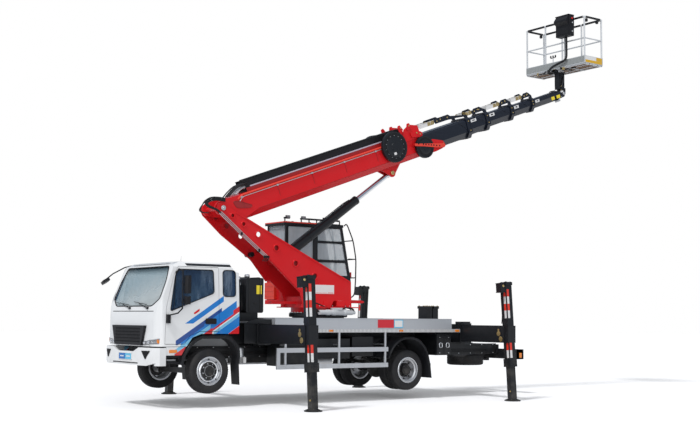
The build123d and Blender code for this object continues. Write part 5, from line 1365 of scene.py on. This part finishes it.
piece("chassis_boxes", boxes, "chassis", "black_paint", bevel=0.004)

handles = Form()
for x in (5.592, 5.785):
    handles.tube(in_plane(rounded_outline(rect(x - 0.040, x + 0.040, 1.065, 1.165), 0.036, 6), -1.163), 0.010, 8,
                 loop=True)
handles.bolts([(x, -1.161, z) for x in (5.565, 5.815) for z in (0.95, 1.28)], NEARWARD, 0.010, 0.008)
piece("box_handles", handles.mirrored(), "chassis", "polished")

tanks = Form()
for x, y in ((2.45, -0.62), (3.20, 0.62)):
    tanks.turned([(0, 0.10), (0.02, 0.13), (0.60, 0.13), (0.62, 0.10)], (x, y, 0.80), ALONG, 32)
tanks.turned([(0.0, 0.050), (0.01, 0.058), (0.28, 0.058), (0.30, 0.045)], (0.900, -0.700, 0.79), UP, 28)
piece("air_tanks", tanks, "chassis", "zinc")
washer_tank = Form().plate(rect(0.870, 0.935, 0.800, 0.915), (-0.86, -0.74), corner=0.02)
piece("washer_tank", washer_tank, "chassis", "label_white", bevel=0.004)

caps = Form()
for x, y, z, radius in ((0.800, -0.705, 2.410, 0.058), (0.800, -0.560, 2.350, 0.040), (0.890, -0.640, 2.300, 0.034)):
    caps.turned([(0, radius + 0.004), (0.02, radius + 0.006), (0.05, radius + 0.004), (0.055, radius - 0.008)],
                (x, y, z), UP, 26)
caps.turned([(0, 0.040), (0.02, 0.052), (0.06, 0.052), (0.075, 0.040), (0.08, 0.0005)], (1.07, -0.62, 2.44), UP, 30)
piece("tank_caps", caps, "chassis", "polished")

tank_trim = Form()
band = rounded_outline(rect(-0.804, -0.416, 1.775, 2.450), 0.045, 5)
for x in (1.02, 1.26):
    tank_trim.tube(in_plane(band, x, 0), 0.010, 6, loop=True)
for z in (1.95, 2.25):
    tank_trim.turned([(-0.002, 0.022), (-0.010, 0.022), (-0.014, 0.014)], (1.14, -0.801, z), ACROSS, 16)
TANK_HOSES = [([(0.95, -0.50, 1.80), (0.90, -0.45, 1.72), (0.90, -0.42, 1.50), (1.00, -0.38, 1.30)], 0.018, 8),
              ([(0.95, -0.60, 1.82), (0.88, -0.60, 1.70), (0.86, -0.52, 1.45), (0.92, -0.40, 1.20)], 0.022, 8)]
TANK_HOSES += [([(0.80, y, 1.60), (0.76, y, 1.48), (0.80, y * 0.9, 1.30), (0.95, y * 0.8, 1.15)], 0.013, 6)
               for y in (-0.30, -0.10, 0.12, 0.32)]
for path, radius, sides in TANK_HOSES:
    tank_trim.tube(path, radius, sides, bend=0.08)
piece("tank_trim", tank_trim, "chassis", "hose")
tank_label = Form().plate(rect(1.18, 1.30, 2.13, 2.30), (-0.8032, -0.7995))
piece("tank_label", tank_label, "chassis", "yellow_label")

lines = Form()
for z in (1.00, 0.97, 0.94, 1.08):
    lines.tube([(x, -0.438, z + rise) for x, rise in ((-0.60, 0), (1.0, 0), (2.4, 0.02), (4.3, 0), (7.6, 0))],
               0.008, 6)
piece("chassis_lines", lines.mirrored(), "chassis", "hose")
rail_bolts = Form().bolts([(x, -0.430, z) for x in np.arange(-0.60, 7.8, 0.35) for z in (0.91, 1.095)], NEARWARD,
                          0.012, 0.009)
piece("rail_bolts", rail_bolts.mirrored(), "chassis", "zinc")

FRONT_ARCH = [(-0.600, 0.800), (-0.520, 0.985), (-0.420, 1.165), (-0.310, 1.270), (-0.170, 1.325), (0.380, 1.330),
              (0.470, 1.300), (0.540, 1.200), (0.590, 1.050), (0.620, 0.780), (0.640, 0.410)]
REAR_ARCH = [(4.160, 0.860), (4.300, 1.090), (4.500, 1.240), (4.750, 1.290), (4.980, 1.240), (5.160, 1.070),
             (5.270, 0.760), (5.310, 0.430)]
arch_edges = Form().tube(in_plane(FRONT_ARCH, -1.100), 0.010, 6)
arch_edges.tube(in_plane(REAR_ARCH, -1.180), 0.012, 8, bend=0.08)
piece("arch_edges", arch_edges.mirrored(), "chassis", "black_plastic")
flaps = Form()
for y0, y1 in ((-1.16, -0.58), (0.58, 1.16)):
    flaps.plate(rect(y0, y1, 0.43, 0.74), (5.305, 5.314), 0, 0.02)
    flaps.blocks([(5.313, 5.317, y, y + 0.020, 0.46, 0.70) for y in np.arange(y0 + 0.05, y1 - 0.03, 0.05)])
piece("mud_flaps", flaps, "chassis", "black_plastic")

# Boom rest on the deck's tail
rest = Form()
for x0, x1 in ((6.055, 6.208), (6.232, 6.385)):
    rest.blocks([(x0 - 0.006, x1 + 0.006, -0.176, 0.176, 1.938, 1.956)])
    rest.blocks([(x, x + 0.008, y, y + 0.003, 1.60, 1.90) for y in (-0.1515, 0.1485)
                 for x in np.arange(x0 + 0.02, x1, 0.028)])
rest.blocks([(6.00, 6.44, -0.20, 0.20, 1.562, 1.580)])
piece("rest_trim", rest, "chassis", "black_paint", bevel=0.002)
rest_pins = Form()
for x in (6.07, 6.20, 6.25, 6.37):
    rest_pins.turned([(0, 0.016), (0.012, 0.016), (0.016, 0.010)], (x, -0.14, 1.955), UP, 12)
piece("rest_pins", rest_pins.mirrored(), "chassis", "brass")

# Work basket: padded rails, bends, boards, slats, labels, control box details, loom and levers
X0, X1 = 10.350, 11.000
FLOOR, TOP = 8.000, 9.110
RAILS = (X0 + 0.020, X1 - 0.020)


def sleeve(form, centre, axis, length):
    """A foam sleeve round a rail, its ends drawn in."""
    form.turned([(0, 0.016), (0.004, 0.026), (length - 0.004, 0.026), (length, 0.016)], centre, axis, 16)


foam = Form()
for x in RAILS:
    for y0, y1 in ((-0.94, -0.36), (-0.30, 0.30), (0.36, 0.94)):
        sleeve(foam, (x, y0, TOP - 0.020), ACROSS, y1 - y0)
for y in (-0.980, 0.980):
    sleeve(foam, (X0 + 0.07, y, TOP - 0.020), ALONG, 0.510)
piece("rail_foam", foam, "work_basket", "black_plastic")

joints = Form()
for x in RAILS:
    for y in (-0.980, -0.330, 0.330, 0.980):
        for z, length in ((TOP - 0.065, 0.05), (FLOOR + 0.535, 0.05), (FLOOR + 0.120, 0.02)):
            joints.turned([(0, 0.0225), (length, 0.0225)], (x, y, z), UP, 16)
piece("rail_joints", joints, "work_basket", "basket_paint")

boards = Form().blocks([(X0 - 0.003, X0 + 0.001, -0.99, 0.99, FLOOR - 0.040, FLOOR + 0.108),
                        (X1 - 0.001, X1 + 0.003, -0.99, 0.99, FLOOR - 0.040, FLOOR + 0.108)])
boards.blocks([(X0 - 0.005, X0 - 0.002, y, y + 0.004, FLOOR - 0.034, FLOOR + 0.102)
               for y in np.arange(-0.95, 0.96, 0.10)])
piece("toe_boards", boards, "work_basket", "toe_grey")
slats = Form().blocks([(X0 + 0.02, X1 - 0.02, y, y + 0.085, FLOOR - 0.072, FLOOR - 0.058)
                       for y in np.arange(-0.97, 0.89, 0.115)])
piece("floor_slats", slats, "work_basket", "slatted", bevel=0.002)
bars = Form().blocks([(x, x + 0.025, -0.99, 0.99, FLOOR - 0.088, FLOOR - 0.056)
                      for x in (X0 + 0.015, 10.52, 10.80, X1 - 0.035)])
bars.blocks([(X0 + 0.01, X1 - 0.01, y, y + 0.022, FLOOR - 0.094, FLOOR - 0.060) for y in (-0.99, -0.42, 0.40, 0.97)])
piece("floor_frame", bars, "work_basket", "basket_paint", bevel=0.002)

LABEL_Y = (-1.003, -0.9995)
white = Form().plate(rect(X0 + 0.03, X0 + 0.40, FLOOR + 0.020, FLOOR + 0.108), LABEL_Y)
piece("basket_label_white", white, "work_basket", "label_white")
yellow = Form().plate(rect(X0 + 0.03, X1 - 0.03, FLOOR - 0.045, FLOOR + 0.020), LABEL_Y)
yellow.plate(rect(X0 + 0.42, X1 - 0.03, FLOOR + 0.024, FLOOR + 0.108), LABEL_Y)
piece("basket_label_yellow", yellow, "work_basket", "ochre_label")

box_x = X0 - 0.190
controls = Form().blocks([(box_x - 0.012, X0 + 0.004, -0.672, -0.218, TOP + 0.060, TOP + 0.078),
                          (box_x - 0.006, box_x + 0.002, -0.640, -0.250, TOP - 0.400, TOP + 0.030),
                          (box_x + 0.02, X0 - 0.02, -0.668, -0.656, TOP - 0.420, TOP + 0.050),
                          (X0 + 0.040, X0 + 0.16, -0.52, -0.30, TOP - 0.20, TOP + 0.03)])
controls.plate([(box_x - 0.085, TOP - 0.110), (box_x - 0.085, TOP - 0.060), (box_x, TOP + 0.060),
                (box_x, TOP - 0.180)], (-0.650, -0.240))
for y in (-0.48, -0.40, -0.33):
    controls.turned([(0, 0.010), (0.018, 0.006), (0.022, 0.013), (0.038, 0.011)], (X0 + 0.10, y, TOP + 0.030), UP, 12)
piece("control_box_trim", controls, "work_basket", "black_plastic", bevel=0.004)
knobs = Form()
for z in (TOP - 0.12, TOP - 0.34):
    knobs.turned([(0, 0.020), (-0.016, 0.020), (-0.022, 0.012)], (X0 - 0.06, -0.658, z), ACROSS, 16)
piece("box_knobs", knobs, "work_basket", "zinc")
stop_button = Form().turned([(0, 0.022), (-0.02, 0.026), (-0.034, 0.020)], (X0 - 0.08, -0.656, TOP - 0.02),
                            ACROSS, 18)
piece("stop_button", stop_button, "work_basket", "red_lens")

loom = Form().tube([(X0 - 0.040, -0.440, TOP - 0.440), (X0 - 0.040, -0.440, FLOOR + 0.160),
                    (X0 - 0.055, -0.400, FLOOR + 0.085), (X0 - 0.065, -0.150, FLOOR + 0.030),
                    (X0 - 0.070, 0.060, FLOOR - 0.030), (X0 - 0.050, 0.190, FLOOR - 0.130),
                    (X0 + 0.040, 0.200, FLOOR - 0.150), (X0 + 0.130, 0.120, FLOOR - 0.120)], 0.028, 10, bend=0.09)
piece("control_loom", loom, "work_basket", "hose")

post = Form().tube([(X0 + 0.05, 0.10, FLOOR), (X0 + 0.05, 0.10, FLOOR + 0.26)], 0.012, 8)
piece("lever_post", post, "work_basket", "basket_paint")
grips = Form().tube([(X0 + 0.05, 0.02, FLOOR + 0.245), (X0 + 0.05, 0.18, FLOOR + 0.245)], 0.010, 6)
for y in (0.02, 0.10, 0.18):
    grips.turned([(0, 0.012), (0.02, 0.020), (0.05, 0.018), (0.06, 0.010)], (X0 + 0.05, y, FLOOR + 0.25), UP, 14)
for x, y in ((X0 + 0.12, -0.955), (X0 + 0.50, 0.955), (X0 + 0.50, -0.955)):
    grips.turned([(0, 0.030), (0.02, 0.040), (0.07, 0.036), (0.08, 0.02)], (x, y, TOP - 0.130), UP, 16)
piece("lever_grips", grips, "work_basket", "black_plastic")

# Mast under the basket: side ribs, collar, strut and pins; the turning table above it
MAST = 10.520
mast_trim = Form().blocks([(MAST - 0.092, MAST - 0.084, y, y + 0.012, 7.50, 7.84) for y in (-0.080, 0.068)])
mast_trim.blocks([(x, x + 0.012, y, y + 0.008, 7.50, 7.84)
                  for x in (MAST - 0.080, MAST + 0.068) for y in (-0.093, 0.085)])
mast_trim.turned([(0, 0.105), (0.0, 0.150), (0.022, 0.150), (0.030, 0.120)], (MAST, 0, 7.828), UP, 36)
mast_trim.tube([(10.49, -0.100, 7.48), (10.52, -0.100, 7.60), (10.56, -0.100, 7.76)], 0.022, 10)
piece("mast_trim", mast_trim, "mast", "black_paint", bevel=0.002)
mast_pins = Form().bolts([(MAST - 0.05, -0.094, z) for z in (7.40, 7.50)], NEARWARD, 0.012, 0.010)
mast_pins.bolts([(MAST + 0.12 * c, 0.12 * s, 7.850) for c, s in circle(8)], UP, 0.010, 0.008)
piece("mast_pins", mast_pins, "mast", "brass")
table = Form().blocks([(MAST - 0.20, MAST + 0.20, y - 0.02, y + 0.02, 7.906, 7.942) for y in (-0.22, 0.22)])
table.blocks([(MAST - 0.02, MAST + 0.02, -0.55, 0.55, 7.900, 7.942), (10.36, 10.44, -0.05, 0.12, 7.86, 7.93)])
table.tube([(10.37, 0.30, 7.93), (10.37, 0.45, 7.88), (10.37, 0.60, 7.88)], 0.014, 8)
piece("turning_table", table, "work_basket", "black_paint", bevel=0.003)
tags = Form().blocks([(10.34, 10.37, -0.32, -0.26, 7.87, 7.94), (10.36, 10.38, 0.02, 0.07, 7.88, 7.95),
                      (10.35, 10.37, 0.58, 0.62, 7.87, 7.93)])
piece("table_tags", tags, "work_basket", "brass", bevel=0.003)

# Lift cylinder: bands round the barrel and a pipe along each side, between its foot and its eye on the boom
eye = along_boom(LIFT_EYE[0], 0, LIFT_EYE[1])
lift_from, lift_to = np.array([2.200, 0.0, 2.826]), np.array([eye[0] - AXLE_1, 0.0, eye[2]])
lift_axis = unit(lift_to - lift_from)
across_lift = np.array([-lift_axis[2], 0.0, lift_axis[0]])
barrel_trim = Form()
for reach, length, grow in ((2.370, 0.055, 0.004), (0.900, 0.030, 0.006), (1.700, 0.030, 0.006)):
    barrel_trim.turned([(0, 0.0915), (0, 0.092 + grow), (length, 0.092 + grow), (length, 0.0915)],
                       lift_from + reach * lift_axis, lift_axis, 40, loop=True)
for y in (-0.03, 0.03):
    pipe = [lift_from + reach * lift_axis + across_lift * away + (0, y, 0)
            for reach, away in ((0.25, 0.10), (0.60, 0.112), (2.10, 0.112), (2.28, 0.092))]
    barrel_trim.tube(pipe, 0.009, 6, bend=0.04)
piece("barrel_trim", barrel_trim, "cylinder_barrel", "black_paint", bevel=0.002)


# Padded seats: cushions blown up as cloth over the seats' frames

PAD_GAP = 0.010
PAD_RISE = 0.024
PAD_GRID = 0.009
PAD_ROUND = 1.9
PAD_PRESSURE = 4.0
PAD_FRAMES = 20
PAD_CLEARANCE = 0.002
CHANNELS = (-0.22, 0.18)
CHANNEL_DEPTH = 0.007
CHANNEL_WIDTH = 0.009
SEAT_PADS = []
for side_name, y in (("left", -0.56), ("right", 0.56)):
    SEAT_PADS += [(f"seat_cushion_{side_name}", (-0.380, y - 0.240, 1.620), (0.160, y + 0.240, 1.740), "cab", 2, 0),
                  (f"seat_back_{side_name}", (0.150, y - 0.230, 1.640), (0.290, y + 0.230, 2.230), "cab", 0, 2),
                  (f"seat_headrest_{side_name}", (0.170, y - 0.130, 2.250), (0.260, y + 0.130, 2.400), "cab", 0, 2)]
SEAT_PADS += [("operator_cushion", (2.960, 0.600, 2.450), (3.430, 1.030, 2.560), "turret", 2, 0),
              ("operator_back", (2.850, 0.620, 2.500), (2.960, 1.010, 3.150), "turret", 0, 2)]


def pad_start(name, low, high):
    """A box round the frame's own box, its corners drawn in to |u|^4 + |v|^4 + |w|^4 = PAD_ROUND."""
    low, high = np.array(low) - PAD_GAP + TRUCK[0], np.array(high) + PAD_GAP + TRUCK[0]
    mesh = bpy.data.meshes.new(name)
    mesh.from_pydata((low * (1 - CORNERS) + high * CORNERS).tolist(), [], BOX_FACES.tolist())
    item = bpy.data.objects.new(name, mesh)
    bpy.context.scene.collection.objects.link(item)
    remesh = item.modifiers.new("remesh", "REMESH")
    remesh.mode = "VOXEL"
    remesh.voxel_size = PAD_GRID
    bake(item)
    centre, half = (low + high) / 2, (high - low) / 2
    points = mesh_points(item)
    share = (points - centre) / half
    size = (np.abs(share) ** 4).sum(1) ** 0.25
    points = centre + (points - centre) * np.minimum(1.0, PAD_ROUND ** 0.25 / size)[:, None]
    set_points(item, points)
    return item


def bake(item):
    """Put the modifiers' result in the mesh and drop them."""
    shape = item.evaluated_get(bpy.context.evaluated_depsgraph_get())
    old, item.data = item.data, bpy.data.meshes.new_from_object(shape)
    item.modifiers.clear()
    bpy.data.meshes.remove(old)
    item.data.name = item.name


def mesh_points(item):
    points = np.empty(len(item.data.vertices) * 3)
    item.data.vertices.foreach_get("co", points)
    return points.reshape(-1, 3)


def set_points(item, points):
    item.data.vertices.foreach_set("co", points.ravel())
    item.data.update()


def blow_up(items):
    """Cloth under a small pressure for PAD_FRAMES, without weight; no point moves further than PAD_RISE."""
    starts = [mesh_points(item) for item in items]
    for item in items:
        cloth = item.modifiers.new("cloth", "CLOTH")
        cloth.settings.use_pressure = True
        cloth.settings.uniform_pressure_force = PAD_PRESSURE
        cloth.settings.effector_weights.gravity = 0.0
        cloth.point_cache.frame_start, cloth.point_cache.frame_end = 1, PAD_FRAMES
    for frame_number in range(1, PAD_FRAMES + 1):
        bpy.context.scene.frame_set(frame_number)
    for item, start in zip(items, starts):
        bake(item)
        moved = mesh_points(item) - start
        reach = np.linalg.norm(moved, axis=1, keepdims=True)
        set_points(item, start + moved * np.minimum(1.0, PAD_RISE / np.maximum(reach, 1e-9)))
    bpy.context.scene.frame_set(1)


def stitch(item, low, high, face_axis, run_axis):
    """Press channels of CHANNEL_DEPTH * exp(-(d / CHANNEL_WIDTH)^2) across a pad's faces; keep it round its frame."""
    low, high = np.array(low) + TRUCK[0], np.array(high) + TRUCK[0]
    points = mesh_points(item)
    centre = (low + high) / 2
    length = high[run_axis] - low[run_axis]
    for share in CHANNELS:
        away = points[:, run_axis] - centre[run_axis] - share * length
        points[:, face_axis] -= (CHANNEL_DEPTH * np.exp(-(away / CHANNEL_WIDTH) ** 2)
                                 * np.sign(points[:, face_axis] - centre[face_axis]))
    depth = np.minimum(points - low, high - points) + PAD_CLEARANCE
    inside = (depth > 0).all(1)
    nearest = depth.argmin(1)
    rows = np.nonzero(inside)[0]
    outward = np.sign(points[rows, nearest[rows]] - centre[nearest[rows]])
    points[rows, nearest[rows]] += outward * depth[rows, nearest[rows]]
    set_points(item, points)


pads = [pad_start(name, low, high) for name, low, high, *_ in SEAT_PADS]
blow_up(pads)
for item, (name, low, high, body, face_axis, run_axis) in zip(pads, SEAT_PADS):
    stitch(item, low, high, face_axis, run_axis)
    rounder = item.modifiers.new("rounder", "SUBSURF")
    rounder.levels = rounder.render_levels = 1
    item.data.materials.append(FINISHES["seat_black"])
    item.data.shade_smooth()
    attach(item, body)

PIPING_OUT = 0.014
piping = {"cab": Form(), "turret": Form()}
for name, low, high, body, face_axis, run_axis in SEAT_PADS:
    a, b = [axis for axis in range(3) if axis != face_axis]
    outline = rect(low[a] - PIPING_OUT, high[a] + PIPING_OUT, low[b] - PIPING_OUT, high[b] + PIPING_OUT)
    outline = rounded_outline(outline, 0.06, 6)
    piping[body].tube(in_plane(outline, (low[face_axis] + high[face_axis]) / 2, face_axis), 0.005, 6, loop=True)
for body, form in piping.items():
    piece(f"seat_piping_{body}", form, body, "black_plastic")
# Studio

FLOOR_HALF = 90.0
LAMP_DISTANCE = 30.0
LAMP_AIM = (0.0, 0.0, 3.0)

def floor_finish():
    """Pale floor: white to the camera and in reflections where it is lit, darker in the object's shadow."""
    finish = Finish("floor")
    light_path = finish.node("ShaderNodeLightPath", output="Is Camera Ray")
    glossy = Value(finish, light_path.socket.node.outputs["Is Glossy Ray"])
    through = Value(finish, light_path.socket.node.outputs["Is Transmission Ray"])
    seen = (light_path + glossy * 0.6 + through).clamped()
    cloth = finish.node("ShaderNodeBsdfDiffuse", sockets={"Color": (0.60, 0.60, 0.61, 1.0)})
    lit = finish.node("ShaderNodeBsdfDiffuse", sockets={"Color": (0.92, 0.92, 0.93, 1.0)})
    glow = finish.node("ShaderNodeEmission", sockets={"Color": (1.0, 1.0, 1.0, 1.0), "Strength": 0.10})
    pale = finish.node("ShaderNodeAddShader", sockets={0: lit, 1: glow})
    return finish.close(finish.node("ShaderNodeMixShader", sockets={0: seen, 1: cloth, 2: pale}))


def lay_floor():
    """A level square under the feet, far wider than the view."""
    mesh = bpy.data.meshes.new("floor")
    corners = [(x, y, 0.0) for x, y in rect(-FLOOR_HALF, FLOOR_HALF, -FLOOR_HALF, FLOOR_HALF)[::-1]]
    mesh.from_pydata(corners, [], [(0, 1, 2, 3)])
    mesh.materials.append(floor_finish())
    floor = bpy.data.objects.new("floor", mesh)
    bpy.context.scene.collection.objects.link(floor)
    floor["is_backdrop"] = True


def light_world():
    """Soft all-round light; the camera and panes see white, reflections a darker blue-grey sky."""
    world = bpy.data.worlds.new("studio")
    world.use_nodes = True
    tree = world.node_tree
    tree.nodes.clear()
    paths = tree.nodes.new("ShaderNodeLightPath")
    shades = {}
    for key, colour, strength in (("soft", (0.93, 0.96, 1.0), 0.50), ("white", (1.0, 1.0, 1.0), 1.0),
                                  ("mirror", (0.40, 0.46, 0.55), 0.8)):
        shades[key] = tree.nodes.new("ShaderNodeBackground")
        shades[key].inputs["Color"].default_value = (*colour, 1.0)
        shades[key].inputs["Strength"].default_value = strength
    either = tree.nodes.new("ShaderNodeMath")
    either.operation = "MAXIMUM"
    reflected = tree.nodes.new("ShaderNodeMixShader")
    choose = tree.nodes.new("ShaderNodeMixShader")
    out = tree.nodes.new("ShaderNodeOutputWorld")
    tree.links.new(paths.outputs["Is Glossy Ray"], reflected.inputs[0])
    tree.links.new(shades["soft"].outputs[0], reflected.inputs[1])
    tree.links.new(shades["mirror"].outputs[0], reflected.inputs[2])
    tree.links.new(paths.outputs["Is Camera Ray"], either.inputs[0])
    tree.links.new(paths.outputs["Is Transmission Ray"], either.inputs[1])
    tree.links.new(either.outputs[0], choose.inputs[0])
    tree.links.new(reflected.outputs[0], choose.inputs[1])
    tree.links.new(shades["white"].outputs[0], choose.inputs[2])
    tree.links.new(choose.outputs[0], out.inputs["Surface"])
    bpy.context.scene.world = world


def add_lamp(name, kind, towards, energy, **settings):
    """A lamp far out against a direction of travel, aimed along it."""
    data = bpy.data.lights.new(name, kind)
    data.energy = energy
    for key, value in settings.items():
        setattr(data, key, value)
    lamp = bpy.data.objects.new(name, data)
    bpy.context.scene.collection.objects.link(lamp)
    direction = Vector(towards).normalized()
    lamp.location = Vector(LAMP_AIM) - direction * LAMP_DISTANCE
    lamp.rotation_euler = direction.to_track_quat("-Z", "Y").to_euler()


CAMERA_PLACE = (-15.708, -20.238, 1.694)
CAMERA_AZIMUTH = radians(36.252)
CAMERA_TILT = radians(5.082)
CAMERA_ROLL = radians(0.439)
CAMERA_LENS = 59.99


def set_camera():
    """The photograph's viewpoint: view direction from azimuth and tilt, then a small roll about it."""
    forward = Vector((sin(CAMERA_AZIMUTH) * cos(CAMERA_TILT), cos(CAMERA_AZIMUTH) * cos(CAMERA_TILT),
                      sin(CAMERA_TILT)))
    right = Vector((cos(CAMERA_AZIMUTH), -sin(CAMERA_AZIMUTH), 0.0))
    upward = right.cross(forward)
    rolled_right = right * cos(CAMERA_ROLL) + upward * sin(CAMERA_ROLL)
    rolled_up = upward * cos(CAMERA_ROLL) - right * sin(CAMERA_ROLL)
    data = bpy.data.cameras.new("camera")
    data.lens = CAMERA_LENS
    data.sensor_width = 36.0
    data.clip_end = 300.0
    camera = bpy.data.objects.new("camera", data)
    turn = Matrix((rolled_right, rolled_up, -forward)).transposed()
    camera.matrix_world = Matrix.Translation(CAMERA_PLACE) @ turn.to_4x4()
    bpy.context.scene.collection.objects.link(camera)
    bpy.context.scene.camera = camera


lay_floor()
light_world()
add_lamp("sun", "SUN", (5.3, 1.5, -8.5), 1.9, angle=radians(9))
add_lamp("side_fill", "SUN", (0.45, 1.0, -0.35), 0.9, angle=radians(50))
set_camera()
bpy.context.scene.view_settings.view_transform = "Standard"

size = {"cad": [list(corner) for corner in CAD_BOX], "visual": [list(corner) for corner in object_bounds()]}
